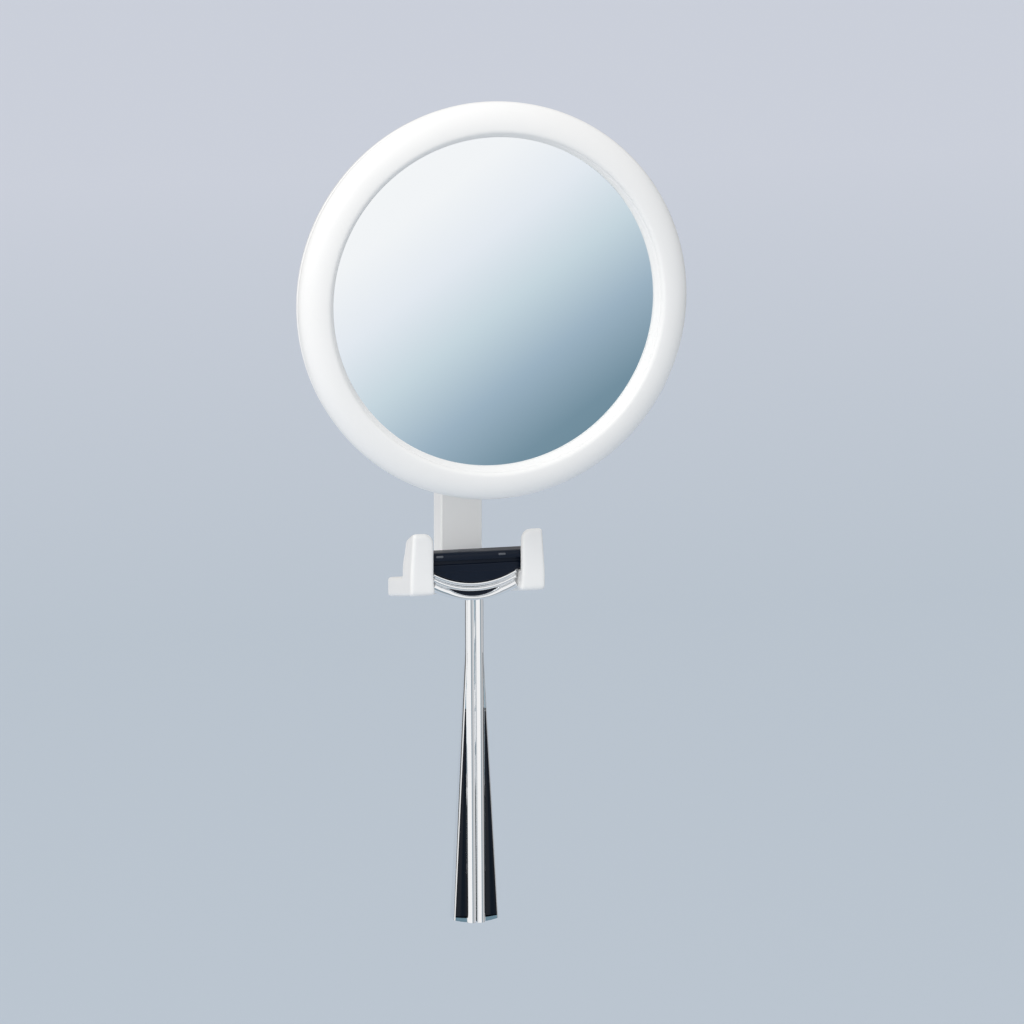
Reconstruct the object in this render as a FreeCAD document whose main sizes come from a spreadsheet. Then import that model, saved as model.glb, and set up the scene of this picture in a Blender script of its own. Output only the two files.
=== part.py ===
"""Extendable shaving mirror with a razor holder, as a FreeCAD document. Millimetres.

X runs left to right, the wall is the plane Y = 0 and the mirror looks along -Y, Z is up.
The origin is the middle of the two wall screws. "Depth" always means distance from the wall.
"""
import FreeCAD, Part
import math
import os
import Sketcher

doc = FreeCAD.newDocument("shaving_mirror")
sheet = doc.addObject("Spreadsheet::Sheet", "sizes")
pieces = {}

SIZES = {
    # mirror head
    "mirror_height": 18,           # centre of the mirror above the origin
    "ring_radius": 75,
    "view_radius": 62,             # visible glass
    "ring_crown_reach": 23.5,      # from the tilt axis to the frontmost line of the ring
    "ring_crown_inset": 3.4,       # crown line outside the visible glass
    "ring_side_reach": 16,         # from the tilt axis to where the ring is widest
    "ring_back_reach": 11,
    "ring_wall": 2,
    "ring_front_flatness": 1.16,   # radius of the round front against a curve that is level at the crown
    "glass_thickness": 3,
    "glass_front_reach": 17.5,
    "glass_overlap": 3.6,          # glass hidden behind the ring's lip
    "lip_edge": 0.9,
    "seat_clearance": 0.4,
    "pad_thickness": 1.8,
    "pad_radius": 48,
    "cover_wall": 2,
    "cover_crown_reach": 6.3,
    "cover_fit": 0.5,
    "cover_curve": 420,
    "recess_radius": 15,
    "recess_floor_reach": 10.5,
    "cover_screws": 6,
    "cover_screw_radius": 1.1,
    "cover_screw_head": 2,
    "boss_radius": 2.2,
    "boss_overlap": 0.3,           # how far a boss runs into the rib
    # wall rail
    "rail_width": 16,
    "rail_wall": 1.8,
    "rail_web": 2,
    "track_gap": 6.8,              # room for the glides between web and lips
    "rail_lip": 1.2,
    "rail_top_margin": 7,          # above the upper wall screw
    "rail_cap": 2,
    "wall_screw_spacing": 150,
    "wall_screw_hole": 2.2,
    "cover_strip": 1.2,
    "strip_clearance": 2.4,        # below the glides
    # lattice arm
    "bar_length": 90,              # pivot to pivot
    "bar_play": 0.4,               # each side of a bar in a channel's track
    "bar_thickness": 2.4,
    "bar_gap": 0.6,                # between the two layers of bars
    "arm_angle": 6.5,              # from the vertical, folded
    "pivot_radius": 1.5,
    "rivet_head": 2.7,
    "rivet_head_height": 0.8,
    "rivet_clearance": 0.45,       # beside a rivet's head in a channel's slot
    "running": 0.05,
    "glide_clearance": 0.2,
    "glide_width": 1.7,
    "sleeve_wall": 1,
    # front bracket and joint
    "bracket_margin": 5,           # beyond the end pivots
    "joint_reach": 9.82,           # from the bracket's front to the tilt axis
    "block_half": 5.9,
    "ear_gap": 0.4,
    "ear_thickness": 3,
    "lug_radius": 4.5,
    "lug_thickness": 3,
    "tilt_pin_radius": 1.75,
    "swivel_stud_radius": 2,
    "swivel_stud_start": 2.8,
    "stud_head": 3.2,
    "hinge_plate_thickness": 1.8,
    "hinge_plate_half_width": 11.5,
    "hinge_plate_half_height": 8,
    "hinge_screw_x": 3.5,
    "hinge_screw_z": 5.5,
    # razor holder
    "holder_drop": 115,            # underside below the mirror's centre
    "holder_depth": 35.6,
    "holder_base": 7.5,
    "prong_rise": 10.5,            # degrees, from the wall up to the ears
    "ear_wall": 4.8,               # outside the head's ends
    "ear_rear_wall": 2.5,
    "ear_rear_height": 4.5,
    "ear_height": 23.6,
    "ear_top_flat": 1.6,
    "ear_top_depth": 10,           # from the front to the ear's upper rear corner
    "ear_top_fall": 3.8,
    "ear_draft": 1.1,
    "ear_foot_flare": 0.7,
    "ear_foot_height": 4,
    "ear_inner_round": 4,
    "ear_edge_round": 1.3,
    "beam_depth": 16,              # rear cross-beam of the fork
    "pocket_lip": 2.6,
    "pocket_depth": 4.4,           # how far the razor's head reaches into an ear
    "tongue_height": 8,
    "holder_screw_radius": 1.4,
    "holder_screw_head": 2.7,
    # razor
    "razor_gap": 0.4,              # between head and pocket
    "head_end_gap": 0.6,
    "head_length": 42,
    "head_thickness": 7.8,
    "head_height": 7.7,
    "head_rest": 0.2,
    "yoke_gap": 1,                 # between the yoke and an ear
    "bridge_sag": 4.2,
    "yoke_side": 7.6,
    "yoke_sag": 4.2,
    "yoke_thickness": 4.2,
    "yoke_band": 2.3,
    "slot_drop": 6.2,              # from the head's underside to the slot's ends
    "slot_height": 1.4,
    "handle_neck_width": 6.9,
    "handle_end_width": 17.4,
    "handle_neck_length": 23,
    "handle_length": 124.6,
    "handle_neck_thickness": 3.2,
    "handle_end_thickness": 6.8,
    "rib_top_offset": 0.4,
    "rib_end_offset": 3.2,
    "rib_radius": 1.75,
    "inlay_depth": 1,
    "inlay_rim": 0.45,
    "inlay_start": 42.4,
    "inlay_gap": 0.2,
    "inlay_end": 2,
    "end_sag": 1.2,
    "slot_share": 0.667,
    "head_round": 1.4,
    "blade_thickness": 0.4,
    "blade_height": 1.6,
    "blade_space": 0.6,
    "blade_recess": 1.4,
}


class Size:
    """A length or angle that carries the formula which the document keeps for it."""

    def __init__(self, value, formula):
        self.value = float(value)
        self.formula = formula

    def joined(self, other, sign, value):
        return Size(value, f"({self.formula} {sign} {other.formula})")

    def __add__(self, other):
        other = as_size(other)
        return self.joined(other, "+", self.value + other.value)

    def __sub__(self, other):
        other = as_size(other)
        return self.joined(other, "-", self.value - other.value)

    def __mul__(self, other):
        other = as_size(other)
        return self.joined(other, "*", self.value * other.value)

    def __truediv__(self, other):
        other = as_size(other)
        return self.joined(other, "/", self.value / other.value)

    def __radd__(self, other):
        return as_size(other) + self

    def __rsub__(self, other):
        return as_size(other) - self

    def __rmul__(self, other):
        return as_size(other) * self

    def __rtruediv__(self, other):
        return as_size(other) / self

    def __neg__(self):
        return Size(-self.value, f"(0 - {self.formula})")


def as_size(thing):
    return thing if isinstance(thing, Size) else Size(thing, repr(float(thing)))


def sine(angle):
    return Size(math.sin(math.radians(angle.value)), f"sin({angle.formula})")


def cosine(angle):
    return Size(math.cos(math.radians(angle.value)), f"cos({angle.formula})")


class Sheet:
    """Every driving size by its name, such as S.rail_width."""


S = Sheet()
for row, (name, value) in enumerate(SIZES.items(), start=1):
    sheet.set(f"A{row}", str(value))
    sheet.setAlias(f"A{row}", name)
    setattr(S, name, Size(value, f"sizes.{name}"))
doc.recompute()


def bind(thing, prop, size):
    """Give a property its formula, and its value at once."""
    thing.setExpression(prop, as_size(size).formula)


def put(thing, x=0, y=0, z=0, axis=None, degrees=90):
    """Place an object; axis and degrees turn it first."""
    if axis:
        turn = FreeCAD.Rotation(FreeCAD.Vector(*axis), degrees)
        thing.Placement = FreeCAD.Placement(FreeCAD.Vector(), turn)
    for letter, size in zip("xyz", (x, y, z)):
        bind(thing, f"Placement.Base.{letter}", size)
    return thing


ALONG_X = (0, 1, 0)    # turns the local Z axis to +X
TO_FRONT = (1, 0, 0)   # turns the local Z axis to -Y


class Round:
    """Between two corners of an outline: an arc with its centre left or right of the way along.

    With no radius it is a half circle across two corners that are level or in line.
    """

    def __init__(self, radius=None, left=True):
        self.radius = radius and as_size(radius)
        self.left = left


def arc_between(start, end, bend):
    """The arc and whether it runs backwards: Part arcs always turn anticlockwise."""
    (ax, ay), (bx, by) = start, end
    half = math.hypot(bx - ax, by - ay) / 2
    radius = bend.radius.value if bend.radius else half
    rise = math.sqrt(max(radius ** 2 - half ** 2, 0.0))
    side = 1 if bend.left else -1
    centre_x = (ax + bx) / 2 - side * rise * (by - ay) / (2 * half)
    centre_y = (ay + by) / 2 + side * rise * (bx - ax) / (2 * half)
    first = math.atan2(ay - centre_y, ax - centre_x)
    last = math.atan2(by - centre_y, bx - centre_x)
    if not bend.left:
        first, last = last, first
    circle = Part.Circle(FreeCAD.Vector(centre_x, centre_y, 0), FreeCAD.Vector(0, 0, 1), radius)
    return Part.ArcOfCircle(circle, first, last), not bend.left


class Body:
    """A PartDesign body, with short calls for the features used here."""

    def __init__(self, label):
        self.body = doc.addObject("PartDesign::Body", label)
        self.body.Label = label
        self.count = 0

    def sketch(self, plane, level):
        self.count += 1
        drawing = self.body.newObject("Sketcher::SketchObject", f"{self.body.Name}_sketch_{self.count}")
        base = [f for f in self.body.Origin.OriginFeatures if f.Role == plane][0]
        drawing.AttachmentSupport = [(base, "")]
        drawing.MapMode = "FlatFace"
        bind(drawing, "AttachmentOffset.Base.z", level)
        return drawing

    def corner(self, drawing, edge, end, point):
        """Hold one corner of an outline at its two sizes."""
        for kind, size in zip(("DistanceX", "DistanceY"), point):
            size = as_size(size)
            number = drawing.addConstraint(Sketcher.Constraint(kind, -1, 1, edge, end, size.value))
            drawing.setExpression(f"Constraints[{number}]", size.formula)

    def outline(self, plane, level, points):
        """A closed outline; a Round after a point makes the side to the next point an arc."""
        drawing = self.sketch(plane, level)
        corners = [item for item in points if not isinstance(item, Round)]
        bends = []
        for item in points:
            if isinstance(item, Round):
                bends[-1] = item
            else:
                bends.append(None)
        spots = [(as_size(x).value, as_size(y).value) for x, y in corners]
        ends = []
        for number, bend in enumerate(bends):
            start, finish = spots[number], spots[(number + 1) % len(spots)]
            if bend:
                edge, backwards = arc_between(start, finish, bend)
            else:
                edge = Part.LineSegment(FreeCAD.Vector(*start, 0), FreeCAD.Vector(*finish, 0))
                backwards = False
            edge = drawing.addGeometry(edge)
            ends.append((edge, 2, 1) if backwards else (edge, 1, 2))
        for number, (edge, start, _) in enumerate(ends):
            last_edge, _, last_end = ends[number - 1]
            drawing.addConstraint(Sketcher.Constraint("Coincident", last_edge, last_end, edge, start))
            self.corner(drawing, edge, start, corners[number])
            if bends[number] and bends[number].radius:
                self.radius(drawing, edge, bends[number].radius)
            elif bends[number]:
                self.level_centre(drawing, edge, corners[number])
        return drawing

    def level_centre(self, drawing, edge, corner):
        """Hold a half circle's centre level with its corners, or in line with them."""
        start = drawing.Geometry[edge].StartPoint
        finish = drawing.Geometry[edge].EndPoint
        axis = 1 if abs(start.y - finish.y) < abs(start.x - finish.x) else 0
        size = as_size(corner[axis])
        kind = ("DistanceX", "DistanceY")[axis]
        number = drawing.addConstraint(Sketcher.Constraint(kind, -1, 1, edge, 3, size.value))
        drawing.setExpression(f"Constraints[{number}]", size.formula)

    def radius(self, drawing, edge, size):
        number = drawing.addConstraint(Sketcher.Constraint("Radius", edge, size.value))
        drawing.setExpression(f"Constraints[{number}]", size.formula)

    def box(self, plane, level, left, right, low, high):
        return self.outline(plane, level, [(left, low), (right, low), (right, high), (left, high)])

    def circles(self, plane, level, spots):
        """Circles, each given as x, y and radius."""
        drawing = self.sketch(plane, level)
        for x, y, radius in spots:
            x, y, radius = as_size(x), as_size(y), as_size(radius)
            middle = FreeCAD.Vector(x.value, y.value, 0)
            circle = Part.Circle(middle, FreeCAD.Vector(0, 0, 1), radius.value)
            edge = drawing.addGeometry(circle)
            self.corner(drawing, edge, 3, (x, y))
            self.radius(drawing, edge, radius)
        return drawing

    def feature(self, kind, drawing):
        self.count += 1
        made = self.body.newObject(f"PartDesign::{kind}", f"{self.body.Name}_{kind}_{self.count}")
        if drawing:
            made.Profile = drawing
        return made

    def volume(self):
        doc.recompute()
        return self.body.Shape.Volume

    def pad(self, drawing, length):
        """Add material from the sketch, along its plane's own direction."""
        made = self.feature("Pad", drawing)
        bind(made, "Length", length)
        doc.recompute()
        return made

    def cut(self, drawing, length):
        """Remove material from the sketch, along its plane's own direction."""
        before = self.volume()
        made = self.feature("Pocket", drawing)
        made.Reversed = True
        bind(made, "Length", length)
        if not self.volume() < before - 1e-6:
            raise RuntimeError(f"{made.Name} cuts nothing")
        return made

    def loft(self, drawings, kind="AdditiveLoft"):
        """Straight-sided loft through sketches, added or (SubtractiveLoft) cut away."""
        before = self.volume() if kind == "SubtractiveLoft" else 0
        made = self.feature(kind, drawings[0])
        made.Sections = drawings[1:]
        made.Ruled = True
        if before and not self.volume() < before - 1e-6:
            raise RuntimeError(f"{made.Name} cuts nothing")
        doc.recompute()
        return made

    def turn(self, drawing, axis="V_Axis"):
        """Add the sketch turned a full circle about one of its own axes."""
        made = self.feature("Revolution", drawing)
        made.ReferenceAxis = (drawing, [axis])
        made.Angle = 360
        doc.recompute()
        return made

    def round_edges(self, radius, wanted):
        """Fillet every edge that the test picks; the test is given the edge's middle and length."""
        doc.recompute()
        last = self.body.Tip
        names = []
        for number, edge in enumerate(last.Shape.Edges, start=1):
            middle = edge.valueAt((edge.FirstParameter + edge.LastParameter) / 2)
            if wanted(edge, middle):
                names.append(f"Edge{number}")
        if not names:
            raise RuntimeError(f"{self.body.Name} has no edge to round")
        made = self.feature("Fillet", None)
        made.Base = (last, names)
        bind(made, "Radius", radius)
        doc.recompute()
        return made

    def around(self, original, axis, count):
        """Repeat one feature evenly about an axis of the body."""
        made = self.body.newObject("PartDesign::PolarPattern", f"{self.body.Name}_pattern")
        made.Originals = [original]
        made.Axis = ([f for f in self.body.Origin.OriginFeatures if f.Role == axis][0], [""])
        made.Angle = 360
        bind(made, "Occurrences", count)
        self.body.Tip = made
        doc.recompute()
        return made


def upright(edge):
    """A straight edge along Z."""
    return along(edge, 2)


def along(edge, axis):
    """A straight edge along one axis: 0 is X, 1 is Y, 2 is Z."""
    straight = edge.Curve.TypeId == "Part::GeomLine"
    return straight and abs(abs(edge.tangentAt(edge.FirstParameter)[axis]) - 1) < 1e-6


def near(value, size):
    return abs(value - as_size(size).value) < 0.02


def keep(label, made):
    """Name a finished piece; its label is its file's name."""
    shape_owner = made.body if isinstance(made, Body) else made
    shape_owner.Label = label
    pieces[label] = shape_owner
    return shape_owner


def turned(name, stations, x=0, y=0, z=0, axis=None):
    """A lathe-turned piece: (distance along its axis, radius) from one end to the other."""
    piece = Body(name)
    points = [(0, stations[0][0])]
    points += [(radius, distance) for distance, radius in stations]
    points += [(0, stations[-1][0])]
    piece.turn(piece.outline("XZ_Plane", 0, points))
    return put(piece.body, x, y, z, axis)


def tube(name, inner, outer, length, x=0, y=0, z=0, axis=None):
    """A bush, washer or disc with a hole."""
    piece = Body(name)
    piece.turn(piece.outline("XZ_Plane", 0, [(inner, 0), (outer, 0), (outer, length), (inner, length)]))
    return put(piece.body, x, y, z, axis)


def group(label, members):
    """Identical small pieces as one node of separate solids."""
    made = doc.addObject("Part::Compound", label)
    made.Links = members
    return keep(label, made)


# ---- places worked out from the sizes ----

centre_z = S.mirror_height
track_centre = S.rail_web + S.track_gap / 2
lip_back = S.rail_web + S.track_gap
glide_radius = S.track_gap / 2 - S.glide_clearance
rail_front = lip_back + S.rail_lip
step = S.bar_length * sine(S.arm_angle)
bar_rise = S.bar_length * cosine(S.arm_angle)
pivot_top = centre_z + S.bar_length / 2
pivot_low = pivot_top - bar_rise
node_one = track_centre + step
node_two = node_one + step
bracket_lip_front = node_two - S.track_gap / 2 - S.rail_lip
bracket_web_back = node_two + S.track_gap / 2
bracket_front = bracket_web_back + S.rail_web
half_rail = S.rail_width / 2
half_channel = half_rail - S.rail_wall
holder_low = centre_z - S.holder_drop
holder_top = holder_low + S.holder_base
layer_inner = S.bar_gap / 2
layer_outer = layer_inner + S.bar_thickness
half_slot = layer_outer + S.running + S.rivet_head_height + S.rivet_clearance
upper_screw = S.wall_screw_spacing / 2
lower_screw = -upper_screw
rail_end = upper_screw + S.rail_top_margin
joint_depth = bracket_front + S.joint_reach
ring_crown_depth = joint_depth + S.ring_crown_reach
ring_side_depth = joint_depth + S.ring_side_reach
ring_back_depth = joint_depth + S.ring_back_reach
glass_front_depth = joint_depth + S.glass_front_reach
cover_crown_depth = joint_depth + S.cover_crown_reach
recess_floor_depth = joint_depth + S.recess_floor_reach


def channel(name, low, high, web_side, lip_side):
    """A C channel along Z: web_side and lip_side are the outer depths of its web and of its lips."""
    inward = 1 if lip_side.value > web_side.value else -1
    web_inner = web_side + inward * S.rail_web
    lip_inner = lip_side - inward * S.rail_lip
    piece = Body(name)
    section = [
        (-half_rail, -web_side), (-half_rail, -lip_side), (-half_slot, -lip_side), (-half_slot, -lip_inner),
        (-half_channel, -lip_inner), (-half_channel, -web_inner), (half_channel, -web_inner),
        (half_channel, -lip_inner), (half_slot, -lip_inner), (half_slot, -lip_side), (half_rail, -lip_side),
        (half_rail, -web_side),
    ]
    piece.pad(piece.outline("XY_Plane", low, section), high - low)
    return piece


def wall_rail():
    """The C channel on the wall: the lattice pivots at its top and glides in its track."""
    piece = channel("wall_rail", holder_top, rail_end - S.rail_cap, as_size(0), rail_front)
    pin = piece.circles("YZ_Plane", -half_rail, [(-track_centre, pivot_top, S.pivot_radius)])
    piece.cut(pin, S.rail_width)
    for height in (upper_screw, lower_screw):
        piece.cut(piece.circles("XZ_Plane", 0, [(0, height, S.wall_screw_hole)]), S.rail_web)
    tongue_middle = holder_top + S.tongue_height / 2
    piece.cut(piece.circles("XZ_Plane", 0, [(0, tongue_middle, S.holder_screw_head)]), S.rail_web)
    piece.round_edges(
        S.rail_lip / 2, lambda e, p: upright(e) and near(abs(p.x), half_rail) and near(p.y, -rail_front)
    )
    keep("wall_rail", piece)


def rail_top_cap():
    """Moulded plug that closes the rail's upper end."""
    piece = Body("rail_top_cap")
    low = rail_end - S.rail_cap
    piece.pad(piece.box("XY_Plane", low, -half_rail, half_rail, -rail_front, 0), S.rail_cap)
    plug_side = half_channel - S.ear_gap / 2
    plug_back = -S.rail_web - S.ear_gap / 2
    plug_front = S.ear_gap / 2 - lip_back
    plug = piece.box("XY_Plane", low - S.rail_cap, -plug_side, plug_side, plug_front, plug_back)
    piece.pad(plug, S.rail_cap)
    piece.round_edges(S.rail_lip / 2, lambda e, p: near(p.z, rail_end) and not near(p.y, 0))
    keep("rail_top_cap", piece)


def rail_front_cover():
    """Flat strip that closes the rail's slot below the lattice."""
    piece = Body("rail_front_cover")
    high = pivot_low - glide_radius - S.strip_clearance
    front = -(rail_front + S.cover_strip)
    strip = piece.box("XY_Plane", holder_top, -half_rail, half_rail, front, -rail_front)
    piece.pad(strip, high - holder_top)
    key_side = half_slot - S.running
    key = piece.box("XY_Plane", holder_top + S.tongue_height, -key_side, key_side, -rail_front, -lip_back)
    piece.pad(key, high - holder_top - S.tongue_height)
    piece.round_edges(
        S.cover_strip / 2, lambda e, p: upright(e) and near(abs(p.x), half_rail) and near(p.y, front)
    )
    keep("rail_front_cover", piece)


def bar(name, inner, pair):
    """Lattice bar along Z between its end pivots, with three pin holes, in its layer of X."""
    half = S.track_gap / 2 - S.bar_play
    reach = S.bar_length / 2
    piece = Body(name)
    outline = piece.outline("YZ_Plane", inner, [
        (-half, -reach), Round(), (half, -reach), (half, reach), Round(), (-half, reach),
    ])
    piece.pad(outline, S.bar_thickness)
    hole = S.pivot_radius + S.running
    spots = [(0, -reach, hole), (0, 0, hole), (0, reach, hole)]
    piece.cut(piece.circles("YZ_Plane", inner, spots), S.bar_thickness)
    piece.round_edges(S.bar_thickness / 6, lambda e, p: upright(e))
    middle = (track_centre + node_one) / 2 if pair == "inner" else (node_one + node_two) / 2
    body = put(piece.body, 0, -middle, (pivot_top + pivot_low) / 2)
    return piece, body


def lattice_bars():
    """Two crossed pairs: the A bars reach out downwards, the B bars reach out upwards."""
    for pair in ("inner", "outer"):
        for letter, lean, level in (("a", -1, layer_inner), ("b", 1, -layer_outer)):
            piece, body = bar(f"lattice_bar_{pair}_{letter}", level, pair)
            body.Placement = FreeCAD.Placement(FreeCAD.Vector(), FreeCAD.Rotation(FreeCAD.Vector(1, 0, 0), 0))
            bind(body, "Placement.Rotation.Angle", lean * S.arm_angle)
            keep(f"lattice_bar_{pair}_{letter}", piece)


def rivet(name, depth, height):
    """A shouldered rivet through both layers of bars, along X."""
    head = layer_outer + S.running
    end = head + S.rivet_head_height
    stations = [(-end, S.rivet_head), (-head, S.rivet_head), (-head, S.pivot_radius), (head, S.pivot_radius),
                (head, S.rivet_head), (end, S.rivet_head)]
    return keep(name, turned(name, stations, 0, -depth, height, ALONG_X))


def pivot_pin(name, depth, height):
    """A plain pin right through a channel's sides."""
    piece = doc.addObject("Part::Cylinder", name)
    bind(piece, "Radius", S.pivot_radius)
    bind(piece, "Height", S.rail_width)
    return keep(name, put(piece, -half_rail, -depth, height, ALONG_X))


def sleeves(name, depth, height, bar_side):
    """Two spacer sleeves that hold a bar's end in the middle of a channel."""
    gap = S.running
    wall = half_channel - gap
    if bar_side > 0:
        spans = [(-wall, layer_inner - gap), (layer_outer + gap, wall)]
    else:
        spans = [(-wall, -layer_outer - gap), (gap - layer_inner, wall)]
    members = []
    for number, (start, end) in enumerate(spans):
        outer = S.pivot_radius + S.sleeve_wall
        sleeve = tube(f"{name}_{number}", S.pivot_radius, outer, end - start, start, -depth, height, ALONG_X)
        members.append(sleeve)
    return group(name, members)


def glide_axle(name, depth, height):
    """A pin through a bar's lower end that carries a glide at each end."""
    axle = doc.addObject("Part::Cylinder", name)
    reach = half_channel - S.ear_gap
    bind(axle, "Radius", S.pivot_radius)
    bind(axle, "Height", reach * 2)
    return keep(name, put(axle, -reach, -depth, height, ALONG_X))


def glides(name, depth, height):
    """Two nylon glides, pressed on an axle, that run behind a channel's lips."""
    members = []
    inner = half_channel - S.ear_gap - S.glide_width
    for number, start in enumerate((-inner - S.glide_width, inner)):
        label = f"{name}_{number}"
        glide = tube(label, S.pivot_radius, glide_radius, S.glide_width, start, -depth, height, ALONG_X)
        members.append(glide)
    return group(name, members)


def bar_washers(name, spots):
    """Thin nylon washers between the two layers of bars."""
    members = []
    thickness = S.bar_gap - S.running
    for number, (depth, height) in enumerate(spots):
        hole = S.pivot_radius + S.running
        start = layer_inner - thickness
        washer = tube(f"{name}_{number}", hole, S.rivet_head, thickness, start, -depth, height, ALONG_X)
        members.append(washer)
    return group(name, members)


def lattice_hardware():
    middle = (pivot_top + pivot_low) / 2
    first_cross = (track_centre + node_one) / 2
    second_cross = (node_one + node_two) / 2
    pivot_pin("rail_pivot_pin", track_centre, pivot_top)
    sleeves("rail_pivot_sleeves", track_centre, pivot_top, 1)
    pivot_pin("bracket_pivot_pin", node_two, pivot_top)
    sleeves("bracket_pivot_sleeves", node_two, pivot_top, -1)
    rivet("centre_rivet_inner", first_cross, middle)
    rivet("centre_rivet_outer", second_cross, middle)
    rivet("joint_rivet_top", node_one, pivot_top)
    rivet("joint_rivet_bottom", node_one, pivot_low)
    glide_axle("rail_glide_axle", track_centre, pivot_low)
    glides("rail_glides", track_centre, pivot_low)
    glide_axle("bracket_glide_axle", node_two, pivot_low)
    glides("bracket_glides", node_two, pivot_low)
    bar_washers("bar_washers_inner", [(first_cross, middle), (node_one, pivot_low)])
    bar_washers("bar_washers_outer", [(second_cross, middle), (node_one, pivot_top)])


# ---- front bracket and its two-axis joint ----

def front_bracket():
    """The C channel that the lattice carries, open to the wall, with two lugs for the swivel."""
    reach = S.bar_length / 2 + S.bracket_margin
    piece = channel("front_bracket", centre_z - reach, centre_z + reach, bracket_front, bracket_lip_front)
    lug_low = S.block_half + S.ear_gap
    for start in (centre_z + lug_low, centre_z - lug_low - S.lug_thickness):
        lug = piece.box("XY_Plane", start, -S.lug_radius, S.lug_radius, -joint_depth, -bracket_front)
        piece.pad(lug, S.lug_thickness)
        piece.pad(piece.circles("XY_Plane", start, [(0, -joint_depth, S.lug_radius)]), S.lug_thickness)
        bore = piece.circles("XY_Plane", start, [(0, -joint_depth, S.swivel_stud_radius)])
        piece.cut(bore, S.lug_thickness)
    pin = piece.circles("YZ_Plane", -half_rail, [(-node_two, pivot_top, S.pivot_radius)])
    piece.cut(pin, S.rail_width)
    piece.round_edges(
        S.rail_lip / 2, lambda e, p: upright(e) and near(abs(p.x), half_rail) and near(p.y, -bracket_front)
    )
    keep("front_bracket", piece)


def swivel_joint():
    """A block that swivels between the lugs on two studs and carries the tilt pin."""
    half = S.block_half
    block = Body("swivel_block")
    base = block.box("XY_Plane", centre_z - half, -half, half, -joint_depth - half, half - joint_depth)
    block.pad(base, half * 2)
    stud_hole = S.swivel_stud_radius + S.running
    spot = [(0, -joint_depth, stud_hole)]
    block.cut(block.circles("XY_Plane", centre_z + S.swivel_stud_start, spot), half)
    block.cut(block.circles("XY_Plane", centre_z - S.swivel_stud_start - half, spot), half)
    block.cut(block.circles("YZ_Plane", -half, [(-joint_depth, centre_z, S.tilt_pin_radius)]), half * 2)
    block.round_edges(half / 4, lambda e, p: along(e, 0) or along(e, 2))
    keep("swivel_block", block)

    outer = half + S.ear_gap + S.lug_thickness
    stations = [(S.swivel_stud_start + S.running, S.swivel_stud_radius), (outer, S.swivel_stud_radius),
                (outer, S.stud_head), (outer + S.rivet_head_height, S.stud_head)]
    studs = []
    for number, (turn, side) in enumerate(((None, 1), ((1, 0, 0), -1))):
        stud = turned(f"swivel_stud_{number}", stations, 0, -joint_depth, centre_z)
        if side < 0:
            put(stud, 0, -joint_depth, centre_z, turn, 180)
        studs.append(stud)
    group("swivel_studs", studs)

    washers = []
    thickness = S.ear_gap - S.running
    for number, start in enumerate((centre_z + half, centre_z - half - thickness)):
        hole = S.swivel_stud_radius + S.running
        washers.append(tube(f"swivel_washer_{number}", hole, S.lug_radius, thickness, 0, -joint_depth, start))
    group("swivel_washers", washers)

    pin_end = half + S.ear_gap + S.ear_thickness
    head = pin_end + S.running
    pin = [(-head - S.rivet_head_height, S.stud_head), (-head, S.stud_head), (-head, S.tilt_pin_radius),
           (head, S.tilt_pin_radius), (head, S.stud_head), (head + S.rivet_head_height, S.stud_head)]
    keep("tilt_pin", turned("tilt_pin", pin, 0, -joint_depth, centre_z, ALONG_X))
    washers = []
    for number, start in enumerate((half, -half - thickness)):
        washers.append(tube(f"tilt_washer_{number}", S.tilt_pin_radius, S.lug_radius, thickness,
                            start, -joint_depth, centre_z, ALONG_X))
    group("tilt_washers", washers)


def hinge_plate():
    """Plate with two ears, screwed into the recess of the back cover."""
    piece = Body("hinge_plate")
    back = recess_floor_depth - S.hinge_plate_thickness
    wide = S.hinge_plate_half_width
    tall = S.hinge_plate_half_height
    plate = piece.box("XZ_Plane", back, -wide, wide, centre_z - tall, centre_z + tall)
    piece.pad(plate, S.hinge_plate_thickness)
    inner = S.block_half + S.ear_gap
    ear_radius = S.block_half - S.ear_gap
    for start in (inner, -inner - S.ear_thickness):
        outline = [
            (-back, centre_z + ear_radius), (-back, centre_z - ear_radius),
            (-joint_depth, centre_z - ear_radius), Round(), (-joint_depth, centre_z + ear_radius),
        ]
        piece.pad(piece.outline("YZ_Plane", start, outline), S.ear_thickness)
        hole = [(-joint_depth, centre_z, S.tilt_pin_radius + S.running)]
        piece.cut(piece.circles("YZ_Plane", start, hole), S.ear_thickness)
    spots = [(x, centre_z + z, S.cover_screw_radius)
             for x in (-S.hinge_screw_x, S.hinge_screw_x) for z in (-S.hinge_screw_z, S.hinge_screw_z)]
    piece.cut(piece.circles("XZ_Plane", back, spots), S.hinge_plate_thickness)
    keep("hinge_plate", piece)


def hinge_screws():
    """Four pan-head screws through the hinge plate into the back cover."""
    back = recess_floor_depth - S.hinge_plate_thickness
    members = []
    for number, (side, level) in enumerate(((-1, -1), (1, -1), (1, 1), (-1, 1))):
        stations = [(-S.rivet_head_height / 2, S.cover_screw_head), (0, S.cover_screw_head),
                    (0, S.cover_screw_radius), (S.hinge_plate_thickness + S.cover_wall, S.cover_screw_radius)]
        members.append(turned(f"hinge_screw_{number}", stations, side * S.hinge_screw_x, -back,
                              centre_z + level * S.hinge_screw_z, TO_FRONT))
    group("hinge_screws", members)


# ---- mirror head: every outline is (depth, radius) turned about the mirror's axis ----

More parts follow.
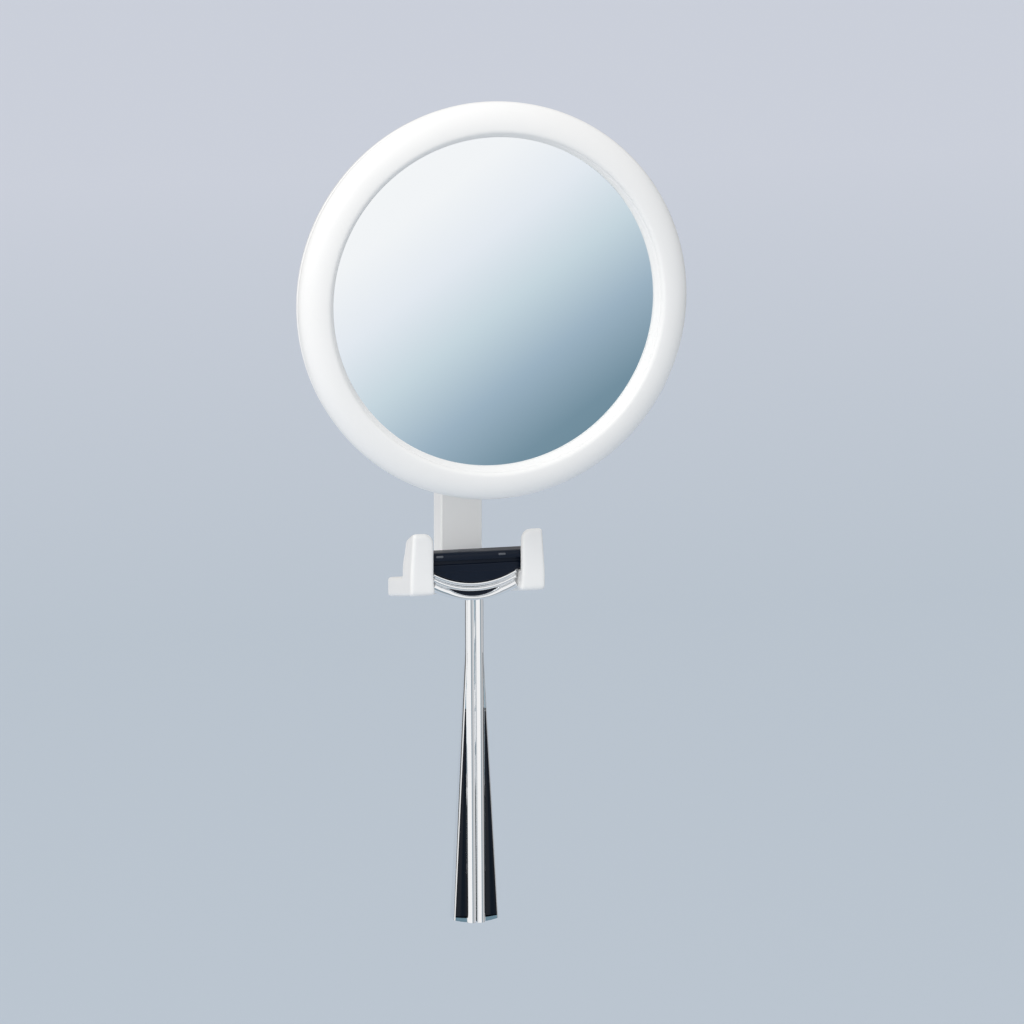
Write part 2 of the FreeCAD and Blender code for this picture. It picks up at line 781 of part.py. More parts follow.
def head_body(name, points):
    """A piece turned about the mirror's axis: points are (radius, depth) and arcs."""
    piece = Body(name)
    flipped = [p if isinstance(p, Round) else (-as_size(p[1]), p[0]) for p in points]
    piece.turn(piece.outline("YZ_Plane", 0, flipped), "H_Axis")
    put(piece.body, 0, 0, centre_z)
    return piece


glass_radius = S.view_radius + S.glass_overlap
crown_radius = S.view_radius + S.ring_crown_inset
crown_width = S.ring_radius - crown_radius
crown_rise = ring_crown_depth - ring_side_depth
front_curve = S.ring_front_flatness * (crown_width * crown_width + crown_rise * crown_rise) / (crown_rise * 2)
glass_back = glass_front_depth - S.glass_thickness
flange_front = glass_back - S.lip_edge - S.running
flange_back = flange_front - S.cover_wall
rib_inner = glass_radius + S.seat_clearance
rib_outer = rib_inner + S.ring_wall
skirt_inner = S.ring_radius - S.ring_wall
boss_circle = rib_outer + S.boss_radius - S.boss_overlap


def front_ring():
    """Hollow white ring: a round front, a lip over the glass edge and a rib behind it."""
    lip_front = glass_front_depth + S.lip_edge
    skin = ring_crown_depth - S.ring_wall
    points = [
        (S.view_radius, glass_front_depth), (S.view_radius, lip_front),
        (crown_radius - S.ring_crown_inset / 4, ring_crown_depth - S.ring_crown_inset / 6),
        Round(S.ring_crown_inset),
        (crown_radius, ring_crown_depth), Round(front_curve, False),
        (S.ring_radius, ring_side_depth), Round(front_curve * 2, False),
        (S.ring_radius - S.lip_edge / 2, ring_back_depth),
        (skirt_inner, ring_back_depth), (skirt_inner, ring_side_depth), Round(front_curve - S.ring_wall),
        (crown_radius + S.ring_wall, skin), (rib_outer, skin - S.ring_wall / 4),
        (rib_outer, flange_front), (rib_inner, flange_front), (rib_inner, glass_front_depth),
    ]
    piece = head_body("front_ring", points)
    boss_length = ring_side_depth + S.ring_wall - flange_front
    spot_radius = S.boss_radius
    boss = piece.pad(piece.circles("XZ_Plane", flange_front, [(0, boss_circle, spot_radius)]), boss_length)
    piece.around(boss, "Y_Axis", S.cover_screws)
    bore = piece.circles("XZ_Plane", flange_front, [(0, boss_circle, S.cover_screw_radius)])
    hole = piece.cut(bore, boss_length - S.ring_wall)
    piece.around(hole, "Y_Axis", S.cover_screws)
    keep("front_ring", piece)


def mirror_glass():
    back = glass_back
    keep("mirror_glass", head_body("mirror_glass", [
        (0, back), (0, glass_front_depth), (glass_radius, glass_front_depth), (glass_radius, back),
    ]))


def foam_pad():
    radius = S.pad_radius
    back = glass_back - S.pad_thickness
    outline = [(0, back), (0, glass_back), (radius, glass_back), (radius, back)]
    keep("foam_pad", head_body("foam_pad", outline))


def back_cover():
    """Domed shell behind the glass, with a recess for the hinge."""
    wall = S.cover_wall
    rim = skirt_inner - S.cover_fit
    floor_front = glass_back - S.pad_thickness
    inner_flat = rib_inner - S.ring_wall
    points = [
        (0, recess_floor_depth), (S.recess_radius, recess_floor_depth), (S.recess_radius, cover_crown_depth),
        (S.recess_radius + wall, cover_crown_depth), Round(S.cover_curve),
        (inner_flat, flange_back), (rim, flange_back), (rim, flange_front), (inner_flat - wall, flange_front),
        Round(S.cover_curve, False),
        (S.recess_radius + wall, cover_crown_depth + wall), (S.recess_radius + wall, floor_front),
        (0, floor_front),
    ]
    piece = head_body("back_cover", points)
    hole = piece.cut(piece.circles("XZ_Plane", flange_back, [(0, boss_circle, S.cover_screw_radius)]), wall)
    piece.around(hole, "Y_Axis", S.cover_screws)
    spots = [(x, z, S.cover_screw_radius)
             for x in (-S.hinge_screw_x, S.hinge_screw_x) for z in (-S.hinge_screw_z, S.hinge_screw_z)]
    piece.cut(piece.circles("XZ_Plane", recess_floor_depth, spots), wall + S.ring_wall)
    keep("back_cover", piece)


def cover_screws():
    """Small screws through the cover's rim into the ring's bosses."""
    members = []
    count = int(S.cover_screws.value)
    for number in range(count):
        stations = [(-S.rivet_head_height, S.cover_screw_head), (0, S.cover_screw_head),
                    (0, S.cover_screw_radius), (S.cover_wall + S.boss_radius, S.cover_screw_radius)]
        angle = 360 / S.cover_screws * number
        x = boss_circle * sine(angle)
        z = centre_z + boss_circle * cosine(angle)
        members.append(turned(f"cover_screw_{number}", stations, x, -flange_back, z, TO_FRONT))
    group("cover_screws", members)


# ---- razor holder ----

pocket_end = S.head_length / 2 + S.head_end_gap
gap_half = pocket_end - S.pocket_depth
holder_half = pocket_end + S.ear_wall
pocket_back = S.holder_depth - S.pocket_lip - S.head_thickness - S.razor_gap * 2
ear_back = pocket_back - S.ear_rear_wall
ear_high = holder_low + S.ear_height
prong_fall = S.holder_depth * sine(S.prong_rise) / cosine(S.prong_rise)


def holder_prongs(piece):
    """The fork's two prongs and its beam, which rise from the wall, and the collar under the rail."""
    depth = S.holder_depth
    slab = piece.outline("YZ_Plane", -holder_half, [
        (0, holder_low - prong_fall), (0, holder_top - prong_fall),
        (-depth, holder_top), (-depth, holder_low),
    ])
    piece.pad(slab, holder_half * 2)
    low = holder_low - prong_fall
    gap = piece.box("XY_Plane", low, -gap_half, gap_half, -depth, -S.beam_depth)
    piece.cut(gap, holder_top - low)
    collar_front = -(rail_front + S.cover_strip)
    collar = piece.box("XY_Plane", holder_top - prong_fall, -half_rail, half_rail, collar_front, 0)
    piece.pad(collar, prong_fall)


def holder_ears(piece):
    """An upright ear on each prong, with a pocket that is open above and towards the razor."""
    depth = S.holder_depth
    ear_depth = depth - ear_back
    foot_inner = gap_half - S.ear_foot_flare
    for side in (-1, 1):
        bend = Round(S.ear_inner_round, side > 0)
        ear = [
            (side * gap_half, holder_low), (side * holder_half, holder_low), (side * holder_half, holder_top),
            (side * (holder_half - S.ear_draft), ear_high),
            (side * (gap_half + S.ear_inner_round), ear_high), bend,
            (side * gap_half, ear_high - S.ear_inner_round),
        ]
        piece.pad(piece.outline("XZ_Plane", ear_back, ear), ear_depth)
        foot = [(side * foot_inner, holder_low), (side * gap_half, holder_low),
                (side * gap_half, holder_low + S.ear_foot_height)]
        piece.pad(piece.outline("XZ_Plane", ear_back, foot), ear_depth)
    for side in (-1, 1):
        inner, outer = side * foot_inner, side * pocket_end
        pocket = piece.box("XZ_Plane", pocket_back, inner, outer, holder_top, ear_high)
        piece.cut(pocket, depth - S.pocket_lip - pocket_back)
        rear = piece.box("XZ_Plane", ear_back, inner, outer, holder_top + S.ear_rear_height, ear_high)
        piece.cut(rear, S.ear_rear_wall)
    corner = S.ear_top_depth - depth
    behind = -ear_back + S.ear_rear_wall
    above = ear_high + S.ear_rear_wall
    slope = piece.outline("YZ_Plane", -holder_half, [
        (S.ear_top_flat - depth, ear_high), (corner, ear_high - S.ear_top_fall), (-ear_back, holder_top),
        (behind, holder_top), (behind, above), (S.ear_top_flat - depth, above),
    ])
    piece.cut(slope, holder_half * 2)


def razor_holder():
    """One moulding: a fork under the rail whose two ears hold the ends of the razor's head."""
    piece = Body("razor_holder")
    holder_prongs(piece)
    holder_ears(piece)
    tongue_side = half_channel - S.ear_gap / 2
    tongue = piece.box("XY_Plane", holder_top, -tongue_side, tongue_side,
                       S.ear_gap / 2 - lip_back, -S.rail_web - S.ear_gap / 2)
    piece.pad(tongue, S.tongue_height)
    screw_height = holder_top + S.tongue_height / 2
    screw_room = S.track_gap - S.cover_wall
    piece.cut(piece.circles("XZ_Plane", S.rail_web, [(0, screw_height, S.holder_screw_radius)]), screw_room)
    front = -S.holder_depth
    piece.round_edges(S.ear_edge_round, lambda e, p: (
        near(p.y, front) and p.z > holder_top.value and near(abs(p.x), holder_half - S.ear_draft / 2)
    ))
    keep("razor_holder", piece)


def holder_screw():
    """Countersunk screw through the rail's web into the holder's tongue."""
    stations = [(0, S.holder_screw_head), (S.rail_web, S.holder_screw_head),
                (S.rail_web, S.holder_screw_radius), (S.track_gap, S.holder_screw_radius)]
    height = holder_top + S.tongue_height / 2
    keep("holder_screw", turned("holder_screw", stations, 0, 0, height, TO_FRONT))


# ---- razor, hanging by its head in the holder ----

razor_depth = S.holder_depth - S.pocket_lip - S.razor_gap - S.head_thickness / 2
head_low = holder_top + S.head_rest
head_high = head_low + S.head_height
yoke_low = head_low - S.yoke_side - S.yoke_sag
handle_top = yoke_low + S.yoke_band / 2
handle_low = handle_top - S.handle_length
yoke_half = gap_half - S.yoke_gap
neck_half = S.handle_neck_width / 2
end_half = S.handle_end_width / 2
handle_slope = (end_half - neck_half) / (S.handle_length - S.handle_neck_length)


def arc_radius(half, sag):
    """Radius of an arc across a chord, from half the chord and the sag."""
    return (half * half + sag * sag) / (sag * 2)


def razor_cartridge():
    """Black head with a recess for its blades on the side that faces the wall."""
    half = S.head_length / 2
    back = razor_depth - S.head_thickness / 2
    piece = Body("razor_cartridge")
    piece.pad(piece.box("XZ_Plane", back, -half, half, head_low, head_high), S.head_thickness)
    side = yoke_half
    middle = (head_low + head_high) / 2
    rise = S.blade_height + S.blade_space
    piece.cut(piece.box("XZ_Plane", back, -side, side, middle - rise, middle + rise), S.blade_recess)
    piece.round_edges(S.head_round, lambda e, p: along(e, 0) and near(p.z, head_high))
    keep("razor_cartridge", piece)


def razor_blades():
    """Two steel strips side by side on the floor of the head's recess."""
    back = razor_depth - S.head_thickness / 2 + S.blade_recess
    middle = (head_low + head_high) / 2
    members = []
    for number, start in enumerate((middle + S.blade_space / 2, middle - S.blade_space / 2 - S.blade_height)):
        blade = doc.addObject("Part::Box", f"blade_{number}")
        side = yoke_half - S.blade_space
        bind(blade, "Length", side * 2)
        bind(blade, "Width", S.blade_thickness)
        bind(blade, "Height", S.blade_height)
        members.append(put(blade, -side, -back, start))
    group("razor_blades", members)


def razor_bridge():
    """Black piece under the head, round at its lower side, that the yoke wraps."""
    half = yoke_half
    piece = Body("razor_bridge")
    back = razor_depth - S.yoke_thickness / 2
    bow = Round(arc_radius(half, S.bridge_sag))
    piece.pad(piece.outline("XZ_Plane", back, [(-half, head_low), bow, (half, head_low)]), S.yoke_thickness)
    keep("razor_bridge", piece)


def razor_yoke():
    """Bright crescent that carries the head, with a curved slot and a socket for the handle."""
    half = yoke_half
    back = razor_depth - S.yoke_thickness / 2
    piece = Body("razor_yoke")
    side_low = head_low - S.yoke_side
    piece.pad(piece.outline("XZ_Plane", back, [
        (-half, head_low), (-half, side_low), Round(arc_radius(half, S.yoke_sag)), (half, side_low),
        (half, head_low), Round(arc_radius(half, S.bridge_sag), False),
    ]), S.yoke_thickness)
    slot_half = half * S.slot_share
    slot_end = head_low - S.slot_drop
    lower_sag = S.yoke_side + S.yoke_sag - S.yoke_band - S.slot_drop
    upper_sag = lower_sag - S.slot_height
    piece.cut(piece.outline("XZ_Plane", back, [
        (-slot_half, slot_end), Round(arc_radius(slot_half, lower_sag)), (slot_half, slot_end),
        Round(arc_radius(slot_half, upper_sag), False),
    ]), S.yoke_thickness)
    socket = piece.box("XZ_Plane", back, -neck_half, neck_half, yoke_low, handle_top)
    piece.cut(socket, S.yoke_thickness)
    keep("razor_yoke", piece)


def handle_edge(drop):
    """Half the handle's width at a distance below its top, past the neck."""
    return neck_half + handle_slope * (drop - S.handle_neck_length)


def handle_half(drop):
    """Half the handle's thickness, without its ribs, at a distance below its top."""
    growth = (S.handle_end_thickness - S.handle_neck_thickness) / 2
    return S.handle_neck_thickness / 2 + growth * (drop / S.handle_length)


def handle_section(piece, drop, half_width, half_thickness):
    """A rectangular section of the handle, level, at a distance below its top."""
    return piece.box("XY_Plane", handle_top - drop, -half_width, half_width,
                     -razor_depth - half_thickness, half_thickness - razor_depth)


def inlay_sections(piece, side, face):
    """The two ends of an inlay: side is left or right (-1, 1), face is wall or room (-1, 1)."""
    rib_side = S.rib_radius * 2 + S.inlay_gap
    sections = []
    for drop in (S.inlay_start, S.handle_length - S.inlay_end):
        edge = handle_edge(drop) - S.inlay_rim
        surface = handle_half(drop)
        outer = -(razor_depth + face * surface)
        inner = -(razor_depth + face * (surface - S.inlay_depth))
        sections.append(piece.box("XY_Plane", handle_top - drop, side * rib_side, side * edge, inner, outer))
    return sections


def razor_handle():
    """Bright handle that flares and thickens downwards, with two round ribs down each face."""
    piece = Body("razor_handle")
    end = handle_half(S.handle_length)
    piece.loft([
        handle_section(piece, as_size(0), neck_half, handle_half(0)),
        handle_section(piece, S.handle_neck_length, neck_half, handle_half(S.handle_neck_length)),
        handle_section(piece, S.handle_length, end_half, end),
    ])
    bow = piece.outline("XZ_Plane", razor_depth - end, [
        (-end_half, handle_low), Round(arc_radius(end_half, S.end_sag)), (end_half, handle_low),
    ])
    piece.pad(bow, end * 2)
    for face in (-1, 1):
        for side in (-1, 1):
            piece.loft(inlay_sections(piece, side, face), "SubtractiveLoft")
    rib_drop = S.yoke_band
    for face in (-1, 1):
        for side in (-1, 1):
            rib = []
            for drop, offset in ((rib_drop, S.rib_top_offset), (S.handle_length, S.rib_end_offset)):
                spot = (side * (S.rib_radius + S.inlay_gap / 2), -(razor_depth + face * offset), S.rib_radius)
                rib.append(piece.circles("XY_Plane", handle_top - drop, [spot]))
            piece.loft(rib)
    keep("razor_handle", piece)


def handle_inlays():
    """Four black strips, two on each face, that fill the handle's pockets."""
    members = []
    for face in (-1, 1):
        for side in (-1, 1):
            piece = Body(f"inlay_{len(members)}")
            piece.loft(inlay_sections(piece, side, face))
            members.append(piece.body)
    group("handle_inlays", members)


def check_document():
    """Stop if any object failed to compute or any piece is not a valid solid."""
    doc.recompute()
    for thing in doc.Objects:
        if "Invalid" in thing.State or "Error" in thing.State:
            raise RuntimeError(f"{thing.Label} did not compute: {thing.State}")
    for label, piece in pieces.items():
        shape = piece.Shape
        if shape.isNull() or not shape.isValid() or not shape.Solids:
            raise RuntimeError(f"{label} is not a valid solid")
        print(f"{label}: {len(shape.Solids)} solids, {shape.Volume:.1f} mm3")


wall_rail()
rail_top_cap()
rail_front_cover()
lattice_bars()
lattice_hardware()
front_bracket()
swivel_joint()
hinge_plate()
hinge_screws()
front_ring()
mirror_glass()
foam_pad()
back_cover()
cover_screws()
razor_holder()
holder_screw()
razor_cartridge()
razor_blades()
razor_bridge()
razor_yoke()
razor_handle()
handle_inlays()
check_document()
os.makedirs("parts", exist_ok=True)
for label, piece in pieces.items():
    piece.Shape.exportStep(f"parts/{label}.step")
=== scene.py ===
# %% [markdown]
# # A shaving mirror on a folding arm
# The object is a round mirror in a white moulded ring. A lattice of steel bars carries it out from
# a rail on the wall, and a fork at the rail's foot holds a razor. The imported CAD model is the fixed
# frame of this scene: it says where each piece is and how it moves. The steps below give it the
# shapes and finishes that a viewer sees.

# %% Load the frame
import bpy
import bmesh
import math
from mathutils import Matrix, Vector


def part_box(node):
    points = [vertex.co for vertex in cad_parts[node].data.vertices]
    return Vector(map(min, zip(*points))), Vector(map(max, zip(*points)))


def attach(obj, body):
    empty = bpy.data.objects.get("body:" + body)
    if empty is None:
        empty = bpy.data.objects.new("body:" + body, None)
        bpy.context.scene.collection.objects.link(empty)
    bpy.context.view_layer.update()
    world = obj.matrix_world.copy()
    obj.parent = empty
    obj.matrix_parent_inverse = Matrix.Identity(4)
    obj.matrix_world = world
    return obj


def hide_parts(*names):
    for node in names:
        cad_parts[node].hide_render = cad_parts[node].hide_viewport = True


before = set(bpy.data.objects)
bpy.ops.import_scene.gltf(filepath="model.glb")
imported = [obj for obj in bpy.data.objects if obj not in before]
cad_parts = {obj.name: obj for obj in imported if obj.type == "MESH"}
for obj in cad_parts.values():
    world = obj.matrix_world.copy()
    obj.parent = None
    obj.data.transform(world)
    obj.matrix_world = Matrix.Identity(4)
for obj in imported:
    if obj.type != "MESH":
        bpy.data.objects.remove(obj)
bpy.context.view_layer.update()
MM = 0.001

# %% [markdown]
# ## Where things are
# A piece is placed from the frame's own boxes, so it fits wherever the CAD model puts it. The
# mirror looks along -Y, so "depth" here means the distance from the wall, which is minus Y. A small
# function that reads a node's box as left, right, back, front, low and high keeps the later cells
# short.

# %% Read places from the frame
class Place:
    """A node's box: left and right in X, back and front as depths, low and high in Z."""

    def __init__(self, node):
        lowest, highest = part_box(node)
        self.left, self.right = lowest.x, highest.x
        self.back, self.front = -highest.y, -lowest.y
        self.low, self.high = lowest.z, highest.z
        self.middle_depth = (self.back + self.front) / 2
        self.middle_z = (lowest.z + highest.z) / 2


ring = Place("front_ring")
glass = Place("mirror_glass")
rail = Place("wall_rail")
holder = Place("razor_holder")
bracket = Place("front_bracket")
cartridge = Place("razor_cartridge")
yoke = Place("razor_yoke")
handle = Place("razor_handle")
cover_strip = Place("rail_front_cover")
joint_depth = Place("tilt_pin").middle_depth
centre_z = ring.middle_z
print("ring radius", round(ring.right / MM, 1), "mm, mirror centre at", round(centre_z / MM, 1), "mm")

# %% [markdown]
# ## Finishes
# Every finish is a Principled shader whose roughness and bump come from noise in Object
# coordinates, so the pattern keeps its real scale in metres and stays on the piece when it moves.
# Colours that are the same all over are typed straight into the shader's socket. The alternative, an
# image texture, would need unwrapping and is no better for plain moulded plastic or plated metal.

# %% A helper that starts a finish
NOISE_LOW, NOISE_HIGH = 0.3, 0.7      # nearly all of a noise texture's values lie between these


def finish(name, colour, metallic=0.0, roughness=0.3):
    material = bpy.data.materials.new(name)
    material.use_nodes = True
    shader = material.node_tree.nodes["Principled BSDF"]
    shader.inputs["Base Color"].default_value = (*colour, 1)
    shader.inputs["Metallic"].default_value = metallic
    shader.inputs["Roughness"].default_value = roughness
    return material, shader


def noise(material, scale, stretch=(1, 1, 1), detail=3.0):
    """Noise in Object coordinates; scale is in turns per metre, stretch squeezes it along an axis."""
    nodes, links = material.node_tree.nodes, material.node_tree.links
    coordinates = nodes.new("ShaderNodeTexCoord")
    mapping = nodes.new("ShaderNodeMapping")
    mapping.inputs["Scale"].default_value = stretch
    texture = nodes.new("ShaderNodeTexNoise")
    texture.inputs["Scale"].default_value = scale
    texture.inputs["Detail"].default_value = detail
    links.new(coordinates.outputs["Object"], mapping.inputs["Vector"])
    links.new(mapping.outputs["Vector"], texture.inputs["Vector"])
    return texture.outputs["Fac"]


def vary(material, shader, socket, value, low, high):
    """Drive one of the shader's sockets from a 0 to 1 value, between two limits."""
    nodes, links = material.node_tree.nodes, material.node_tree.links
    spread = nodes.new("ShaderNodeMapRange")
    spread.inputs["From Min"].default_value = NOISE_LOW
    spread.inputs["From Max"].default_value = NOISE_HIGH
    spread.inputs["To Min"].default_value = low
    spread.inputs["To Max"].default_value = high
    links.new(value, spread.inputs["Value"])
    links.new(spread.outputs["Result"], shader.inputs[socket])


def tint(material, shader, value, dark, light):
    """Mix two close colours over the surface."""
    nodes, links = material.node_tree.nodes, material.node_tree.links
    ramp = nodes.new("ShaderNodeValToRGB")
    ramp.color_ramp.elements[0].position = NOISE_LOW
    ramp.color_ramp.elements[0].color = (*dark, 1)
    ramp.color_ramp.elements[1].position = NOISE_HIGH
    ramp.color_ramp.elements[1].color = (*light, 1)
    links.new(value, ramp.inputs["Fac"])
    links.new(ramp.outputs["Color"], shader.inputs["Base Color"])


def bump(material, shader, value, height, strength=0.5):
    """Raise the surface by a height in metres where the value is high."""
    nodes, links = material.node_tree.nodes, material.node_tree.links
    relief = nodes.new("ShaderNodeBump")
    relief.inputs["Strength"].default_value = strength
    relief.inputs["Distance"].default_value = height
    links.new(value, relief.inputs["Height"])
    links.new(relief.outputs["Normal"], shader.inputs["Normal"])


# %% [markdown]
# The ring, rail, holder and back cover are injection-moulded white plastic. Real moulded plastic
# is never quite even: its gloss drifts over a few centimetres and its skin has a faint orange peel.

# %% White moulded plastic
DRIFT_SCALE = 38          # turns per metre: the gloss changes over about 26 mm
PEEL_SCALE = 900          # the orange peel repeats every millimetre or so
PEEL_HEIGHT = 0.00002


def white_plastic(name, light, dark, low_gloss, high_gloss):
    material, shader = finish(name, light)
    drift = noise(material, DRIFT_SCALE, detail=2)
    tint(material, shader, drift, dark, light)
    vary(material, shader, "Roughness", drift, low_gloss, high_gloss)
    bump(material, shader, noise(material, PEEL_SCALE, detail=4), PEEL_HEIGHT, 0.35)
    shader.inputs["IOR"].default_value = 1.5
    return material


ring_white = white_plastic("moulded_white", (0.95, 0.95, 0.945), (0.938, 0.938, 0.932), 0.28, 0.38)
cover_white = white_plastic("moulded_white_matt", (0.9, 0.9, 0.885), (0.875, 0.875, 0.86), 0.42, 0.55)

# %% [markdown]
# The glass is silvered on its back. A metallic shader with almost no roughness gives the same
# picture as a glass sheet over silver and bakes far better. A few faint wipe marks stop it from
# looking like a perfect computer mirror.

# %% Silvered glass
silvered, shader = finish("silvered_glass", (0.93, 0.955, 0.965), metallic=1.0)
vary(silvered, shader, "Roughness", noise(silvered, 14, (1, 1, 3)), 0.004, 0.02)

# %% [markdown]
# The razor is chrome plated over a casting. Plating shows long soft ripples, and the tiny scratches
# of use run mostly down the handle.

# %% Chrome plate
def bright_metal(name, colour, low, high, scratches, height):
    material, shader = finish(name, colour, metallic=1.0)
    marks = noise(material, 420, scratches, detail=6)
    vary(material, shader, "Roughness", marks, low, high)
    bump(material, shader, marks, height, 0.25)
    return material


chrome = bright_metal("chrome_plate", (0.9, 0.91, 0.92), 0.03, 0.09, (1, 1, 0.06), 0.000004)
satin_dark = bright_metal("satin_dark_metal", (0.16, 0.17, 0.19), 0.3, 0.42, (1, 1, 1), 0.000008)
brushed_steel = bright_metal("brushed_steel", (0.62, 0.63, 0.64), 0.22, 0.4, (1, 1, 0.03), 0.00001)
pin_steel = bright_metal("turned_steel", (0.58, 0.58, 0.6), 0.14, 0.26, (0.05, 1, 1), 0.000006)
blade_steel = bright_metal("honed_steel", (0.78, 0.79, 0.8), 0.08, 0.16, (0.04, 1, 1), 0.000004)

# %% [markdown]
# Black plastic picks up fine dust and rub marks, seen mostly as a change of gloss. Its mirror-like
# share is turned down, because a pale room would otherwise turn it grey. The handle's inlays are
# glossier, as enamel is.

# %% Black plastic, inlay, nylon and foam
def black_plastic(name, colour, low, high, grain):
    material, shader = finish(name, colour)
    shader.inputs["Specular IOR Level"].default_value = 0.2
    rubs = noise(material, 150, (1, 1, 0.5), detail=5)
    vary(material, shader, "Roughness", rubs, low, high)
    bump(material, shader, noise(material, grain, detail=3), 0.00001, 0.3)
    return material


head_black = black_plastic("head_black", (0.004, 0.009, 0.021), 0.3, 0.42, 1800)
inlay_black = black_plastic("inlay_black", (0.003, 0.006, 0.012), 0.1, 0.18, 700)

nylon, shader = finish("nylon", (0.86, 0.85, 0.8), roughness=0.45)
vary(nylon, shader, "Roughness", noise(nylon, 300), 0.38, 0.52)

foam, shader = finish("foam", (0.12, 0.12, 0.125), roughness=0.9)
bump(foam, shader, noise(foam, 1600, detail=5), 0.0002, 0.8)

# %% [markdown]
# ## Tools for shapes
# Most pieces are one of three kinds: turned on a lathe, cut from a plate, or swept along a line.
# One helper for each keeps the cells that follow about the object. All of them write the place into
# the mesh and leave the object at the origin, which the frame asks for.

# %% From a list of points to a piece
def linked(name, data):
    """A new object that is part of the scene."""
    thing = bpy.data.objects.new(name, data)
    bpy.context.scene.collection.objects.link(thing)
    return thing


def piece_from_mesh(name, mesh, material):
    mesh.name = name
    piece = linked(name, mesh)
    mesh.materials.clear()
    mesh.materials.append(material)
    return piece


def evaluated_mesh(piece):
    """The plain mesh of an object, with its curve or its modifiers worked out."""
    bpy.context.view_layer.update()
    depsgraph = bpy.context.evaluated_depsgraph_get()
    return bpy.data.meshes.new_from_object(piece.evaluated_get(depsgraph))


def change_mesh(piece, mesh):
    """Give a piece another mesh in place of its own and its modifiers, with the same materials."""
    materials = list(piece.data.materials)
    piece.modifiers.clear()
    piece.data = mesh
    mesh.materials.clear()
    for material in materials:
        mesh.materials.append(material)


def tidy_mesh(mesh, sharp=math.radians(35)):
    """Merge doubles, point the faces outwards and smooth all but the sharp edges."""
    form = bmesh.new()
    form.from_mesh(mesh)
    bmesh.ops.remove_doubles(form, verts=form.verts, dist=1e-7)
    bmesh.ops.dissolve_degenerate(form, edges=form.edges, dist=1e-8)
    bmesh.ops.recalc_face_normals(form, faces=form.faces)
    for face in form.faces:
        face.smooth = True
    for edge in form.edges:
        edge.smooth = len(edge.link_faces) == 2 and edge.calc_face_angle(0) < sharp
    form.to_mesh(mesh)
    form.free()
    return mesh


def loft_faces(vertex_count, size):
    """Faces that join rings of points one after another, with a cap at both ends."""
    faces = []
    for start in range(0, vertex_count - size, size):
        for step in range(size):
            here, there = start + step, start + (step + 1) % size
            faces.append((here, there, there + size, here + size))
    faces.append(tuple(range(size)))
    faces.append(tuple(range(vertex_count - size, vertex_count))[::-1])
    return faces


def lathe(name, profile, material, steps=192, height=None):
    """Turn a closed profile of (radius, depth) about the mirror's axis."""
    height = centre_z if height is None else height
    vertices, faces = [], []
    count = len(profile)
    for step in range(steps):
        angle = 2 * math.pi * step / steps
        for radius, depth in profile:
            vertices.append((radius * math.cos(angle), -depth, height + radius * math.sin(angle)))
    for step in range(steps):
        here, there = step * count, (step + 1) % steps * count
        for number in range(count):
            following = (number + 1) % count
            faces.append((here + number, there + number, there + following, here + following))
    mesh = bpy.data.meshes.new(name)
    mesh.from_pydata(vertices, [], faces)
    return piece_from_mesh(name, tidy_mesh(mesh), material)


def ellipse_arc(centre, half_width, half_height, start, end, steps):
    """Points of an ellipse about a centre, between two angles in degrees from the outward side."""
    points = []
    for step in range(steps + 1):
        angle = math.radians(start + (end - start) * step / steps)
        points.append((centre[0] + half_width * math.cos(angle), centre[1] + half_height * math.sin(angle)))
    return points


def rounded(corners, steps=6):
    """An outline whose corners are (x, y, radius): each corner becomes a tangent arc."""
    nearly_straight = math.pi - 0.02
    side_share = 0.499           # an arc takes up at most this much of the side next to it
    points = []
    for number, (x, y, radius) in enumerate(corners):
        here = Vector((x, y))
        before = Vector(corners[number - 1][:2]) - here
        after = Vector(corners[(number + 1) % len(corners)][:2]) - here
        turn = before.angle(after) if before.length and after.length else math.pi
        if radius <= 0 or turn > nearly_straight:
            points.append((x, y))
            continue
        reach = min(radius / math.tan(turn / 2), before.length * side_share, after.length * side_share)
        radius = reach * math.tan(turn / 2)
        before, after = before.normalized(), after.normalized()
        first, last = here + before * reach, here + after * reach
        middle = here + (before + after).normalized() * radius / math.sin(turn / 2)
        for step in range(steps + 1):
            blend = step / steps
            spoke = (first - middle).lerp(last - middle, blend)
            spoke = spoke.normalized() * radius if spoke.length > 1e-12 else spoke
            points.append(tuple(middle + spoke))
    return points


# %% [markdown]
# A plate is a flat outline with a thickness and softened edges. A 2D curve with a fill, an extrude
# and a small bevel makes it in one go, holes included, and the bevel is pulled inwards so that the
# plate keeps its size.

# %% Plates
SIDES = {
    "front": Matrix(((1, 0, 0), (0, 0, -1), (0, 1, 0))),    # outline in X and Z, thickness in depth
    "side": Matrix(((0, 0, 1), (1, 0, 0), (0, 1, 0))),      # outline in Y and Z, thickness in X
    "top": Matrix(((1, 0, 0), (0, 1, 0), (0, 0, 1))),       # outline in X and Y, thickness in Z
}


